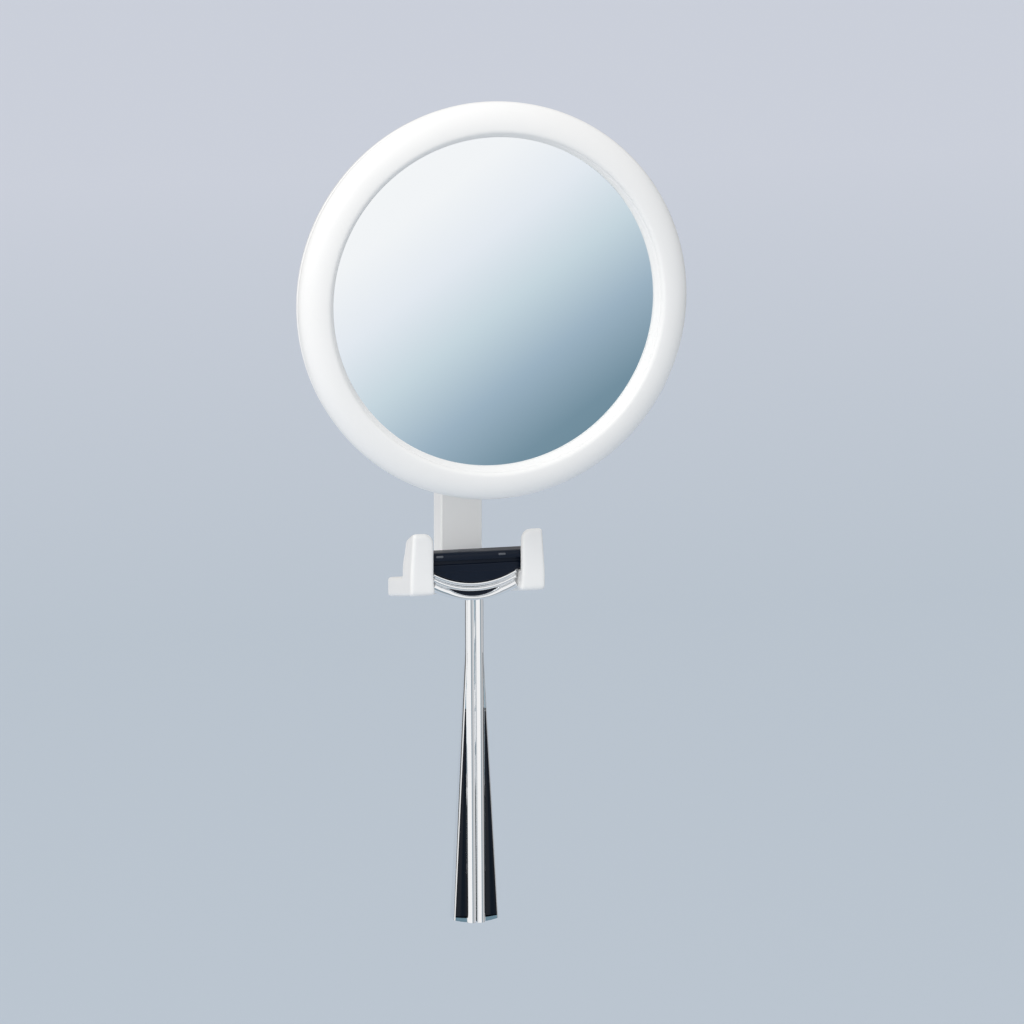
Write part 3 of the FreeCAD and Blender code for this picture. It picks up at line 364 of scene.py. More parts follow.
def plate_mesh(name, side, start, end, outline, holes=(), edge=0.3 * MM):
    """A plate between two levels. Levels are X for side, Z for top and depth for front."""
    curve = bpy.data.curves.new(name, "CURVE")
    curve.dimensions = "2D"
    curve.fill_mode = "BOTH"
    for loop in (outline, *holes):
        spline = curve.splines.new("POLY")
        spline.points.add(len(loop) - 1)
        for point, (x, y) in zip(spline.points, loop):
            point.co = (x, y, 0, 1)
        spline.use_cyclic_u = True
    curve.extrude = (end - start) / 2 - edge
    curve.bevel_depth = edge
    curve.bevel_resolution = 3
    curve.offset = -edge
    outline_object = linked(name, curve)
    mesh = evaluated_mesh(outline_object)
    bpy.data.objects.remove(outline_object)
    bpy.data.curves.remove(curve)
    mesh.transform(Matrix.Translation((0, 0, (start + end) / 2)))
    mesh.transform(SIDES[side].to_4x4())
    return tidy_mesh(mesh)


def plate(name, side, start, end, outline, material, holes=(), edge=0.3 * MM):
    return piece_from_mesh(name, plate_mesh(name, side, start, end, outline, holes, edge), material)


def box_outline(left, right, low, high, radius, steps=6):
    corners = ((left, low), (right, low), (right, high), (left, high))
    return rounded([(x, y, radius) for x, y in corners], steps)


def circle(x, y, radius, steps=32):
    turn = 2 * math.pi / steps
    return [(x + radius * math.cos(turn * n), y + radius * math.sin(turn * n)) for n in range(steps)]


def joined(name, pieces, material):
    """Several meshes as one piece of separate shells."""
    form = bmesh.new()
    for piece in pieces:
        form.from_mesh(piece.data if isinstance(piece, bpy.types.Object) else piece)
        if isinstance(piece, bpy.types.Object):
            bpy.data.objects.remove(piece)
    mesh = bpy.data.meshes.new(name)
    form.to_mesh(mesh)
    form.free()
    return piece_from_mesh(name, mesh, material)


# %% [markdown]
# A sweep carries a rounded section along a line in the X-Z plane. The section's width may change on
# the way, which is how the lower band of the razor's yoke swells in its middle.

# %% Sweeps
SECTION_POINTS = 32
SQUARENESS = 2.4             # 2 is an ellipse, and more is squarer


def sweep(name, line, widths, thickness, depth, material):
    """line: (x, z) points; the widths lie in their plane, and the thickness is in depth."""
    vertices = []
    for number, (x, z) in enumerate(line):
        before = Vector(line[max(number - 1, 0)])
        after = Vector(line[min(number + 1, len(line) - 1)])
        along = (after - before).normalized()
        for step in range(SECTION_POINTS):
            angle = 2 * math.pi * step / SECTION_POINTS
            wide, deep = (math.copysign(abs(part) ** (2 / SQUARENESS), part) / 2
                          for part in (math.cos(angle), math.sin(angle)))
            wide *= widths[number]
            vertices.append((x - along.y * wide, -(depth + deep * thickness), z + along.x * wide))
    mesh = bpy.data.meshes.new(name)
    mesh.from_pydata(vertices, [], loft_faces(len(vertices), SECTION_POINTS))
    return piece_from_mesh(name, tidy_mesh(mesh), material)


def place(piece, body, slot, *nodes):
    """Say which body a piece rides on and the CAD nodes it stands for. The slot argument is not used."""
    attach(piece, body)
    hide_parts(*nodes)
    print(piece.name, len(piece.data.polygons), "faces")
    return piece


# %% [markdown]
# ## The white ring
# The ring is the first thing one sees: a hollow moulding with a full round front that falls away
# steeply to the glass. It is turned from one profile, which also carries the inside: a rib that
# holds the glass and a thin outer skirt. Turning gives a perfectly even highlight all the way round,
# which a bent tube or a bevelled cylinder would not.

# %% Ring profile and ring
GLASS_LIP = 3.6 * MM         # glass hidden behind the ring's lip
CROWN_INSET = 3.4 * MM       # from the visible glass out to the ring's crown
WALL = 2 * MM
GLASS_ROOM = 0.4 * MM        # between the glass's edge and the rib round it
RIB_OVERHANG = 0.9 * MM      # how far the rib reaches behind the glass

view_radius = glass.right - GLASS_LIP
crown_radius = view_radius + CROWN_INSET
side_depth = ring.back + 0.4 * (ring.front - ring.back)
front_rise = ring.front - side_depth
rib_inner, rib_outer = glass.right + GLASS_ROOM, glass.right + GLASS_ROOM + WALL
rib_end = glass.back - RIB_OVERHANG
seat = glass.front + 0.02 * MM
crown = (crown_radius, side_depth)
inner_width, inner_rise = ring.right - WALL - crown_radius, front_rise - WALL
ring_profile = ellipse_arc(crown, ring.right - crown_radius, front_rise, 0, 90, 28)
ring_profile += ellipse_arc((crown_radius, ring.front - 1.5 * MM), 1.7 * MM, 1.5 * MM, 100, 160, 8)
ring_profile += rounded([
    (view_radius + 1.35 * MM, ring.front - 2.2 * MM, 0.8 * MM),
    (view_radius, glass.front + 1.0 * MM, 0.5 * MM), (view_radius, seat, 0.15 * MM),
    (rib_inner, seat, 0), (rib_inner, rib_end, 0.2 * MM),
    (rib_outer, rib_end, 0.2 * MM), (rib_outer, ring.front - WALL - 0.6 * MM, 0),
], steps=3)[1:]
ring_profile += ellipse_arc(crown, inner_width, inner_rise, 72, 0, 14)
ring_profile += rounded([
    (ring.right - WALL, ring.back, 0.4 * MM), (ring.right - 0.5 * MM, ring.back, 0.7 * MM),
    (ring.right, side_depth - 0.5 * MM, 4 * MM),
], steps=4)
front_ring = lathe("front_ring_moulding", ring_profile, ring_white, steps=256)
place(front_ring, "mirror_head", "white_plastic", "front_ring")

# %% [markdown]
# ## The glass
# A flat disc with a ground edge. The edge is hidden behind the lip, yet it is there when the model
# is taken apart, so it gets its small bevel.

# %% Glass disc
EDGE_GRIND = 0.4 * MM
glass_profile = [
    (0, glass.back), (glass.right - EDGE_GRIND, glass.back), (glass.right, glass.back + EDGE_GRIND),
    (glass.right, glass.front - EDGE_GRIND), (glass.right - EDGE_GRIND, glass.front), (0, glass.front),
]
mirror_glass = lathe("mirror_glass_disc", glass_profile, silvered, steps=192)
place(mirror_glass, "mirror_head", "mirror_glass", "mirror_glass")

# %% [markdown]
# ## The foam pad
# A thin disc of foam keeps the glass from rattling. Foam is never a sharp slab: its faces swell a
# little and its cut edge rounds over, so the disc is crowned on the side that presses on nothing.

# %% Foam pad
pad_place = Place("foam_pad")
pad_half = (pad_place.front - pad_place.back) / 2
pad_edge = (pad_place.right - pad_half, pad_place.middle_depth)
pad_profile = [(0, pad_place.back)]
pad_profile += ellipse_arc(pad_edge, pad_half, 0.98 * pad_half, -90, 0, 12)
pad_profile += ellipse_arc(pad_edge, pad_half, 0.93 * pad_half, 0, 90, 12)[1:]
pad_profile.append((pad_place.right * 0.6, pad_place.front - 0.02 * MM))
pad_profile.append((0, pad_place.front - 0.01 * MM))
foam_pad = lathe("foam_pad_disc", pad_profile, foam, steps=128)
place(foam_pad, "mirror_head", "foam", "foam_pad")

# %% [markdown]
# ## The back cover
# Behind the glass sits a shallow dome with a flat seat in its middle for the hinge. It is turned
# like the ring, from one closed profile of outside and inside together, so the wall has a real
# thickness everywhere.

# %% Back cover
cover = Place("back_cover")
RECESS_RADIUS = 15 * MM
RECESS_FLOOR = joint_depth + 10.5 * MM
FLANGE_START = 64 * MM
DOME_RISE = 0.7 * MM


def dome(start, end, rise, steps=18):
    """Points from one (radius, depth) to another, bowed out towards the wall by the rise."""
    points = []
    for step in range(steps + 1):
        blend = step / steps
        radius = start[0] + (end[0] - start[0]) * blend
        depth = start[1] + (end[1] - start[1]) * blend - rise * 4 * blend * (1 - blend)
        points.append((radius, depth))
    return points


cover_profile = [(0, RECESS_FLOOR)]
cover_profile += rounded([
    (RECESS_RADIUS, RECESS_FLOOR, 0.6 * MM), (RECESS_RADIUS, cover.back, 0.7 * MM),
    (RECESS_RADIUS + WALL * 1.4, cover.back, 0),
], steps=4)[0:-1]
cover_profile += dome((RECESS_RADIUS + WALL, cover.back), (FLANGE_START, cover.front - WALL), DOME_RISE)[1:]
cover_profile += rounded([
    (FLANGE_START + 0.5 * MM, cover.front - WALL, 0), (cover.right, cover.front - WALL, 0.5 * MM),
    (cover.right, cover.front, 0.3 * MM), (FLANGE_START - WALL, cover.front, 0),
], steps=4)
cover_profile += dome((FLANGE_START - WALL, cover.front), (RECESS_RADIUS + WALL, cover.back + WALL),
                      DOME_RISE)[1:]
cover_profile += [(RECESS_RADIUS + WALL, pad_place.back), (0, pad_place.back)]
back_cover = lathe("back_cover_dome", cover_profile, cover_white, steps=192)
place(back_cover, "mirror_head", "white_plastic", "back_cover")

# %% [markdown]
# ## Screws
# Six small screws hold the cover and four hold the hinge. They are one shape repeated, so one pan
# head with a cross recess is turned once, and Geometry Nodes put a copy on each point of a circle or
# of a small grid. Copying by hand would do as well, but here the count and the radius stay inputs
# that can be changed.

# %% One screw
def cross_recess(size, depth):
    """A plus-shaped cutter, centred on the axis, from the head's face inwards."""
    arms = []
    for wide, tall in ((size, size * 0.26), (size * 0.26, size)):
        outline = box_outline(-wide, wide, -tall, tall, 0.05 * MM, 2)
        arms.append(plate_mesh("recess_arm", "front", -1 * MM, depth, outline, edge=0.03 * MM))
    return arms


def cut_away(piece, cutters):
    """Subtract each cutter mesh from a piece, and bake the result into its mesh."""
    for cutter in cutters:
        tool = linked("cutter", cutter)
        modifier = piece.modifiers.new("cut", "BOOLEAN")
        modifier.operation = "DIFFERENCE"
        modifier.solver = "EXACT"
        modifier.object = tool
        change_mesh(piece, tidy_mesh(evaluated_mesh(piece)))
        bpy.data.objects.remove(tool)
    return piece


HEAD_RADIUS = 2 * MM
HEAD_HEIGHT = 0.8 * MM
SHANK_RADIUS = 1.1 * MM
PITCH = 0.5 * MM
THREAD_START = 0.35 * MM
THREAD_CORE = 0.84           # the thread's root, as a share of the shank's radius


def screw_shape(name, length):
    """A screw on the Y axis: its head's underside is at depth 0 and its shank runs into the object."""
    profile = [(0, -HEAD_HEIGHT)]
    profile += rounded([
        (HEAD_RADIUS * 0.72, -HEAD_HEIGHT, 0.5 * MM), (HEAD_RADIUS, -HEAD_HEIGHT * 0.45, 0.3 * MM),
        (HEAD_RADIUS, 0, 0.05 * MM), (SHANK_RADIUS, 0, 0),
    ], 4)
    core = SHANK_RADIUS * THREAD_CORE
    for turn in range(int(length / PITCH)):
        start = THREAD_START + turn * PITCH
        profile += [(core, start), (SHANK_RADIUS, start + 0.2 * MM), (core, start + 0.4 * MM)]
    profile += [(SHANK_RADIUS * 0.4, length), (0, length)]
    shape = lathe(name, profile, pin_steel, steps=24, height=0)
    return cut_away(shape, cross_recess(HEAD_RADIUS * 0.55, -HEAD_HEIGHT * 0.35))


cover_screw = screw_shape("cover_screw_shape", 4.2 * MM)
hinge_screw = screw_shape("hinge_screw_shape", 3.8 * MM)
print("screw shape", len(cover_screw.data.polygons), "faces")

# %% [markdown]
# The node tree has two kinds of points to choose from, a circle and a grid, and everything after
# that is shared: stand the points up in the X-Z plane, move them to their centre, put the screw on
# each, realize the copies and set the material.

# %% Screw pattern with Geometry Nodes
def pattern_tree(name, ring_of_points):
    tree = bpy.data.node_groups.new(name, "GeometryNodeTree")
    sockets = [("Shape", "Object"), ("Finish", "Material"), ("Centre", "Vector")]
    if ring_of_points:
        sockets += [("Count", "Int"), ("Circle Radius", "Float")]
    else:
        sockets += [("Across", "Float"), ("Upwards", "Float")]
    tree.interface.new_socket("Geometry", in_out="OUTPUT", socket_type="NodeSocketGeometry")
    for title, kind in sockets:
        tree.interface.new_socket(title, in_out="INPUT", socket_type="NodeSocket" + kind)
    nodes, links = tree.nodes, tree.links
    inputs, output = nodes.new("NodeGroupInput"), nodes.new("NodeGroupOutput")
    if ring_of_points:
        points = nodes.new("GeometryNodeMeshCircle")
        links.new(inputs.outputs["Count"], points.inputs["Vertices"])
        links.new(inputs.outputs["Circle Radius"], points.inputs["Radius"])
    else:
        points = nodes.new("GeometryNodeMeshGrid")
        points.inputs["Vertices X"].default_value = 2
        points.inputs["Vertices Y"].default_value = 2
        links.new(inputs.outputs["Across"], points.inputs["Size X"])
        links.new(inputs.outputs["Upwards"], points.inputs["Size Y"])
    start = nodes.new("GeometryNodeTransform")
    start.inputs["Rotation"].default_value = (0, 0, math.radians(90) if ring_of_points else 0)
    stand = nodes.new("GeometryNodeTransform")
    stand.inputs["Rotation"].default_value = (math.radians(90), 0, 0)
    copies = nodes.new("GeometryNodeInstanceOnPoints")
    shape = nodes.new("GeometryNodeObjectInfo")
    real = nodes.new("GeometryNodeRealizeInstances")
    painted = nodes.new("GeometryNodeSetMaterial")
    links.new(points.outputs["Mesh"], start.inputs["Geometry"])
    links.new(start.outputs["Geometry"], stand.inputs["Geometry"])
    links.new(inputs.outputs["Centre"], stand.inputs["Translation"])
    links.new(stand.outputs["Geometry"], copies.inputs["Points"])
    links.new(inputs.outputs["Shape"], shape.inputs["Object"])
    links.new(shape.outputs["Geometry"], copies.inputs["Instance"])
    links.new(copies.outputs["Instances"], real.inputs["Geometry"])
    links.new(real.outputs["Geometry"], painted.inputs["Geometry"])
    links.new(inputs.outputs["Finish"], painted.inputs["Material"])
    links.new(painted.outputs["Geometry"], output.inputs["Geometry"])
    return tree


def run_tree(name, tree, values, material):
    """Run a node tree on an empty mesh and keep what it makes as a plain mesh."""
    carrier = linked(name, bpy.data.meshes.new(name))
    modifier = carrier.modifiers.new("pattern", "NODES")
    modifier.node_group = tree
    for socket in tree.interface.items_tree:
        if socket.in_out == "INPUT" and socket.name in values:
            modifier[socket.identifier] = values[socket.name]
    mesh = evaluated_mesh(carrier)
    bpy.data.objects.remove(carrier)
    return piece_from_mesh(name, mesh, material)


COVER_SCREWS = 6
screws = Place("cover_screws")
screw_seat = cover.front - WALL
cover_screws = run_tree("cover_screw_ring", pattern_tree("screws_on_a_circle", True), {
    "Shape": cover_screw, "Finish": pin_steel, "Count": COVER_SCREWS,
    "Circle Radius": screws.high - HEAD_RADIUS - centre_z, "Centre": (0, -screw_seat, centre_z),
}, pin_steel)
place(cover_screws, "mirror_head", "pin_steel", "cover_screws")

plate_place = Place("hinge_plate")
hinge_places = Place("hinge_screws")
PLATE_THICKNESS = 1.8 * MM
plate_back = plate_place.front - PLATE_THICKNESS
hinge_screws = run_tree("hinge_screw_grid", pattern_tree("screws_on_a_grid", False), {
    "Shape": hinge_screw, "Finish": pin_steel, "Centre": (0, -plate_back, centre_z),
    "Across": 2 * (hinge_places.right - HEAD_RADIUS),
    "Upwards": 2 * (hinge_places.high - HEAD_RADIUS - centre_z),
}, pin_steel)
place(hinge_screws, "mirror_head", "pin_steel", "hinge_screws")
for shape in (cover_screw, hinge_screw):
    bpy.data.objects.remove(shape)

# %% [markdown]
# ## Hinge plate, swivel block and bracket
# The plate and its two ears are cast in one piece: a rounded rectangle and two tongues with round
# ends, all with soft cast edges. The block between them turns on two studs, and the bracket is a
# white channel with two lugs. Plates with holes and bevels give these shapes directly.

# %% Hinge plate
HOLE_CLEARANCE = 0.05 * MM
tilt = Place("tilt_pin")
block = Place("swivel_block")
pin_radius = 1.75 * MM
EAR_THICKNESS = 3 * MM
JOINT_ROOM = 0.4 * MM        # between the block and the parts on each side of it
STUD_RADIUS = 2 * MM
CAST_EDGE = 0.35 * MM


def tongue_outline(root, tip_centre, half, level):
    """A tongue in the Y-Z plane: square at its root and round about its tip's centre."""
    towards = 1 if tip_centre > root else -1
    tip = ellipse_arc((tip_centre, level), towards * half, half, -90, 90, 24)
    return [(root, level - half), *tip, (root, level + half)]


casting, shader = finish("zinc_cast", (0.5, 0.51, 0.52), metallic=1.0)
grains = noise(casting, 700, detail=5)
vary(casting, shader, "Roughness", grains, 0.38, 0.55)
bump(casting, shader, grains, 0.00003, 0.4)

ear_half = (plate_place.high - plate_place.low) / 2 - 2.5 * MM
base = plate_mesh("hinge_base", "front", plate_back, plate_place.front,
                  box_outline(plate_place.left, plate_place.right, plate_place.low, plate_place.high, 2 * MM),
                  edge=CAST_EDGE)
ears = []
ear_outline = tongue_outline(-(plate_back + 0.6 * MM), -joint_depth, ear_half, centre_z)
ear_hole = circle(-joint_depth, centre_z, pin_radius + HOLE_CLEARANCE)
ear_start = block.right + JOINT_ROOM
for start in (ear_start, -ear_start - EAR_THICKNESS):
    ears.append(plate_mesh("hinge_ear", "side", start, start + EAR_THICKNESS,
                           ear_outline, [ear_hole], CAST_EDGE))
hinge_plate = joined("hinge_casting", [base, *ears], casting)
place(hinge_plate, "mirror_head", "zinc_casting", "hinge_plate")

# %% [markdown]
# The swivel block is a small casting with two crossing bores: an upright one for the studs and a
# level one for the tilt pin. A plate can carry the upright bore as a hole in its outline. The level
# bore crosses the plate, so it is cut out afterwards with a turned bar.

# %% Swivel block
block_outline = box_outline(block.left, block.right, -block.front, -block.back, 1.5 * MM)
stud_bore = circle(0, -joint_depth, STUD_RADIUS + HOLE_CLEARANCE)
swivel_block = plate("swivel_block_casting", "top", block.low, block.high,
                     block_outline, casting, [stud_bore], 0.9 * MM)
bore_start, bore_end = block.left - MM, block.right + MM
bore_profile = [(0, bore_start), (pin_radius, bore_start), (pin_radius, bore_end), (0, bore_end)]
pin_bore = lathe("pin_bore", bore_profile, casting, steps=32, height=0)
pin_bore.data.transform(Matrix(((0, 1, 0), (1, 0, 0), (0, 0, 1))).to_4x4())
pin_bore.data.transform(Matrix.Translation((0, -joint_depth, centre_z)))
cut_away(swivel_block, [tidy_mesh(pin_bore.data)])
bpy.data.objects.remove(pin_bore)
place(swivel_block, "swivel", "zinc_casting", "swivel_block")

# %% [markdown]
# The front bracket is a short C channel: a web, two walls and two lips that keep the glides in. Two
# lugs reach forward from it and hold the studs that the block turns on.

# %% Front bracket
CHANNEL_WEB = 2 * MM
CHANNEL_WALL = 1.8 * MM
CHANNEL_LIP = 1.2 * MM
SLOT_HALF = 4 * MM
HALF_TRACK = 3.4 * MM         # from the pivot pin's axis to the inside of the web
bracket_front = Place("bracket_pivot_pin").middle_depth + HALF_TRACK + CHANNEL_WEB


def channel_outline(half, web, lip, wall_round):
    """A C section seen from above: web and lip are the outer depths of its two sides."""
    inward = 1 if lip > web else -1
    inner_web, inner_lip = web + inward * CHANNEL_WEB, lip - inward * CHANNEL_LIP
    inner = half - CHANNEL_WALL
    corners = [
        (-half, -web, wall_round), (-half, -lip, 0.6 * MM), (-SLOT_HALF, -lip, 0.3 * MM),
        (-SLOT_HALF, -inner_lip, 0.3 * MM), (-inner, -inner_lip, 0.2 * MM), (-inner, -inner_web, 0.4 * MM),
        (inner, -inner_web, 0.4 * MM), (inner, -inner_lip, 0.2 * MM), (SLOT_HALF, -inner_lip, 0.3 * MM),
        (SLOT_HALF, -lip, 0.3 * MM), (half, -lip, 0.6 * MM), (half, -web, wall_round),
    ]
    return rounded(corners, 5)


shell = plate_mesh("bracket_channel", "top", bracket.low, bracket.high,
                   channel_outline(bracket.right, bracket_front, bracket.back, 1.4 * MM), edge=0.12 * MM)
lugs = []
LUG_HALF = 4.5 * MM
lug_root = -bracket_front + 0.5 * MM
lug_tip = ellipse_arc((0, -joint_depth), LUG_HALF, LUG_HALF, 180, 360, 24)
lug_outline = [(-LUG_HALF, lug_root), *lug_tip, (LUG_HALF, lug_root)]
lug_hole = circle(0, -joint_depth, STUD_RADIUS)
for low in (block.high + JOINT_ROOM, block.low - JOINT_ROOM - EAR_THICKNESS):
    lugs.append(plate_mesh("bracket_lug", "top", low, low + EAR_THICKNESS,
                           lug_outline, [lug_hole], CAST_EDGE))
bracket_white = white_plastic("bracket_enamel", (0.9, 0.9, 0.89), (0.88, 0.88, 0.87), 0.24, 0.34)
front_bracket = joined("front_bracket_channel", [shell, *lugs], bracket_white)
place(front_bracket, "bracket", "white_bracket", "front_bracket")

# %% [markdown]
# ## Pins and rivets
# Every pivot of the lattice is a riveted pin: a straight shank with a domed head at each side. They
# are turned about X. The tilt pin has the same heads with a lower dome.

# %% Rivets and pins
def turned_along_x(name, stations, depth, height, material, steps=40):
    """Lathe work about the X axis: stations are (radius, x)."""
    piece = lathe(name, stations, material, steps=steps, height=0)
    piece.data.transform(Matrix(((0, -1, 0), (1, 0, 0), (0, 0, 1))).to_4x4())
    piece.data.transform(Matrix.Translation((0, -depth, height)))
    tidy_mesh(piece.data)
    return piece


def rivet_stations(end, head_start, head_radius, shank, dome_share=0.75):
    """A rivet from -end to end with domed heads that start at head_start."""
    dome_height = (end - head_start) * dome_share
    cap = ellipse_arc((0, end - dome_height), head_radius, dome_height, 90, 0, 8)
    cap[0] = (0, end)
    side = cap + [(head_radius, head_start), (shank, head_start)]
    other = [(radius, -x) for radius, x in reversed(side)]
    return side + other


RIVETS = {
    "centre_rivet_inner": "inner_bar_a", "joint_rivet_bottom": "inner_bar_a",
    "joint_rivet_top": "inner_bar_b", "centre_rivet_outer": "outer_bar_a",
}
RIVET_SHANK = 1.5 * MM
RIVET_HEAD = 0.8 * MM
for node, body in RIVETS.items():
    spot = Place(node)
    head_radius = (spot.high - spot.low) / 2
    stations = rivet_stations(spot.right, spot.right - RIVET_HEAD, head_radius, RIVET_SHANK)
    rivet = turned_along_x(node + "_domed", stations, spot.middle_depth, spot.middle_z, pin_steel)
    place(rivet, body, "pin_steel", node)

stations = rivet_stations(tilt.right, tilt.right - RIVET_HEAD, (tilt.high - tilt.low) / 2, pin_radius, 0.5)
tilt_pin = turned_along_x("tilt_pin_turned", stations, joint_depth, centre_z, pin_steel)
place(tilt_pin, "swivel", "pin_steel", "tilt_pin")

# %% [markdown]
# ## The razor holder
# One moulding: a fork that rises a little from the wall to its two ears, each of which holds an end
# of the razor's head. A moulder rounds everything, so the fork is put together from plates, its gap
# and pockets are cut, and a fine remesh then melts the joins into one skin. Modelling each fillet by
# hand would take far longer and look the same.

# %% Holder sizes
PRONG_RISE = math.radians(10.5)
EAR_WIDTH = 9.2 * MM
EAR_BACK = 21.9 * MM
EAR_DRAFT = 1.1 * MM
EAR_FOOT = 4.6 * MM
BASE_HEIGHT = 7.5 * MM
BEAM_DEPTH = 16 * MM
FOOT_FLARE = 0.7 * MM
POCKET_REACH = 4.4 * MM
POCKET_BACK = 24.4 * MM
POCKET_FRONT = 33 * MM
REAR_WALL = 2.5 * MM
REAR_HEIGHT = 4.5 * MM
gap_half = holder.right - EAR_WIDTH
prong_fall = holder.front * math.tan(PRONG_RISE)
fork_low = holder.low + prong_fall
base_top = fork_low + BASE_HEIGHT
print("prongs rise by", round(prong_fall / MM, 1), "mm")

# %% [markdown]
# The prongs and their beam are one sloping slab with a gap cut out of its front half. A collar fills
# the wedge between the slab and the foot of the rail, and a tongue reaches up inside the rail.

# %% Prongs, beam, collar and tongue
def melt(piece, voxel, smoothing, repeat):
    """Fuse overlapping shells with a voxel remesh and soften the joins."""
    remesh = piece.modifiers.new("melt", "REMESH")
    remesh.mode = "VOXEL"
    remesh.voxel_size = voxel
    remesh.use_smooth_shade = True
    soften = piece.modifiers.new("soften", "SMOOTH")
    soften.factor = smoothing
    soften.iterations = repeat
    change_mesh(piece, evaluated_mesh(piece))
    piece.data.shade_smooth()


foot_top = base_top - prong_fall
gap_front = -holder.front - 5 * MM
slab = plate("fork_slab", "side", -holder.right, holder.right, rounded([
    (0, holder.low, 0.8 * MM), (0, foot_top, 0.8 * MM),
    (-holder.front, base_top, 1.5 * MM), (-holder.front, fork_low, 2 * MM),
]), ring_white, edge=1 * MM)
gap = plate_mesh("fork_gap", "top", holder.low - 5 * MM, base_top + 5 * MM, rounded([
    (-gap_half, -BEAM_DEPTH, 3 * MM), (-gap_half, gap_front, 0), (gap_half, gap_front, 0),
    (gap_half, -BEAM_DEPTH, 3 * MM),
]), edge=0.1 * MM)
cut_away(slab, [gap])
collar = plate_mesh("fork_collar", "top", foot_top, base_top, box_outline(
    -rail.right, rail.right, -cover_strip.front, 0, 0.6 * MM), edge=0.3 * MM)
TONGUE_ROOM = 0.2 * MM        # between the tongue and the inside of the rail
tongue_half = rail.right - CHANNEL_WALL - TONGUE_ROOM
tongue_front, tongue_back = rail.front - CHANNEL_LIP - TONGUE_ROOM, CHANNEL_WEB + TONGUE_ROOM
tongue = plate_mesh("fork_tongue", "top", base_top - MM, base_top + 8 * MM, box_outline(
    -tongue_half, tongue_half, -tongue_front, -tongue_back, 0.4 * MM), edge=0.3 * MM)
print("tongue", round(2 * tongue_half / MM, 1), "mm wide")

# %% [markdown]
# The two ears are upright blocks with a slight draft, as a mould needs. Their foot flares a little
# into the gap, and the inner top corner is rounded most. They are the same outline twice, mirrored
# by a sign. Melting needs shells that overlap, so each ear reaches down into its prong.

# %% Ears
shells = [slab, collar, tongue]
ear_low = fork_low + 0.4 * MM
for side in (-1, 1):
    ear_corners = [
        (side * (gap_half - FOOT_FLARE), ear_low, 0.6 * MM), (side * holder.right, ear_low, 1 * MM),
        (side * holder.right, base_top, 12 * MM), (side * (holder.right - EAR_DRAFT), holder.high, 1.1 * MM),
        (side * gap_half, holder.high, 4.2 * MM), (side * gap_half, fork_low + EAR_FOOT, 4 * MM),
    ]
    shells.append(plate_mesh("fork_ear", "front", EAR_BACK, holder.front,
                             rounded(ear_corners, 8), edge=1.2 * MM))
razor_holder = joined("razor_fork", shells, ring_white)
melt(razor_holder, 0.5 * MM, 0.5, 2)
print("fork", len(razor_holder.data.polygons), "faces before its pockets")

# %% [markdown]
# Each ear has a pocket open towards the gap, a low wall behind it, and a top that slopes down to the
# rear so the razor can be lifted out.

# %% Pockets and sloping tops
cutters = []
for side in (-1, 1):
    ends = sorted((side * (gap_half - 3 * MM), side * (gap_half + POCKET_REACH)))
    for back, front, low in ((POCKET_BACK, POCKET_FRONT, base_top),
                             (EAR_BACK - MM, POCKET_BACK + 0.6 * MM, base_top + REAR_HEIGHT)):
        cutters.append(plate_mesh("pocket", "front", back, front, box_outline(
            ends[0], ends[1], low, holder.high + 4 * MM, 0.5 * MM), edge=0.3 * MM))
slope_start, slope_end = 1.6 * MM - holder.front, 10 * MM - holder.front
slope_foot, slope_back, slope_top = base_top + 0.3 * MM, REAR_WALL - EAR_BACK, holder.high + REAR_WALL
cutters.append(plate_mesh("ear_slope", "side", -holder.right - MM, holder.right + MM, [
    (slope_start, holder.high), (slope_end, holder.high - 3.8 * MM), (-EAR_BACK, slope_foot),
    (slope_back, slope_foot), (slope_back, slope_top), (slope_start, slope_top),
], edge=0.02 * MM))
cut_away(razor_holder, cutters)
melt(razor_holder, 0.42 * MM, 0.5, 2)
low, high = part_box("razor_holder")       # the melt may swell a corner, so the skin is held to the box
for vertex in razor_holder.data.vertices:
    for axis in range(3):
        vertex.co[axis] = min(max(vertex.co[axis], low[axis]), high[axis])
place(razor_holder, "wall_unit", "white_plastic", "razor_holder")

# %% [markdown]
# ## The razor's head
# The head is a black moulding as long as the gap between the ears, seen edge on: a rounded bar on
# top, a groove, and a lower face that leans back. One outline in the Y-Z plane, extruded along X,
# gives all three, and the recess for the blades is cut into the side that faces the wall.

# %% Razor head
razor_depth = yoke.middle_depth
yoke_half = yoke.right
head_back, head_front = cartridge.back, cartridge.front
GROOVE_TOP = cartridge.high - 3.1 * MM
GROOVE = 1.5 * MM
GROOVE_FLOOR = 1.5 * MM - head_front
groove_foot = GROOVE_TOP - GROOVE
head_outline = rounded([
    (-head_back, cartridge.low, 0.5 * MM), (-head_back, cartridge.high, 1.2 * MM),
    (-head_front, cartridge.high, 1.5 * MM), (-head_front, GROOVE_TOP, 0.7 * MM),
    (GROOVE_FLOOR, GROOVE_TOP - 0.1 * MM, 0.1 * MM), (GROOVE_FLOOR, groove_foot, 0.1 * MM),
    (-head_front + 0.5 * MM, groove_foot - 0.1 * MM, 0.4 * MM),
    (-head_front + 1.1 * MM, cartridge.low, 0.4 * MM),
], 5)
razor_head = plate("razor_head", "side", cartridge.left, cartridge.right,
                   head_outline, head_black, edge=0.35 * MM)
blades = Place("razor_blades")
recess = plate_mesh("blade_recess", "front", head_back - MM, blades.back, box_outline(
    -yoke_half, yoke_half, blades.low - 0.6 * MM, blades.high + 0.6 * MM, 0.5 * MM), edge=0.1 * MM)
cut_away(razor_head, [recess])
place(razor_head, "razor", "black_plastic", "razor_cartridge")
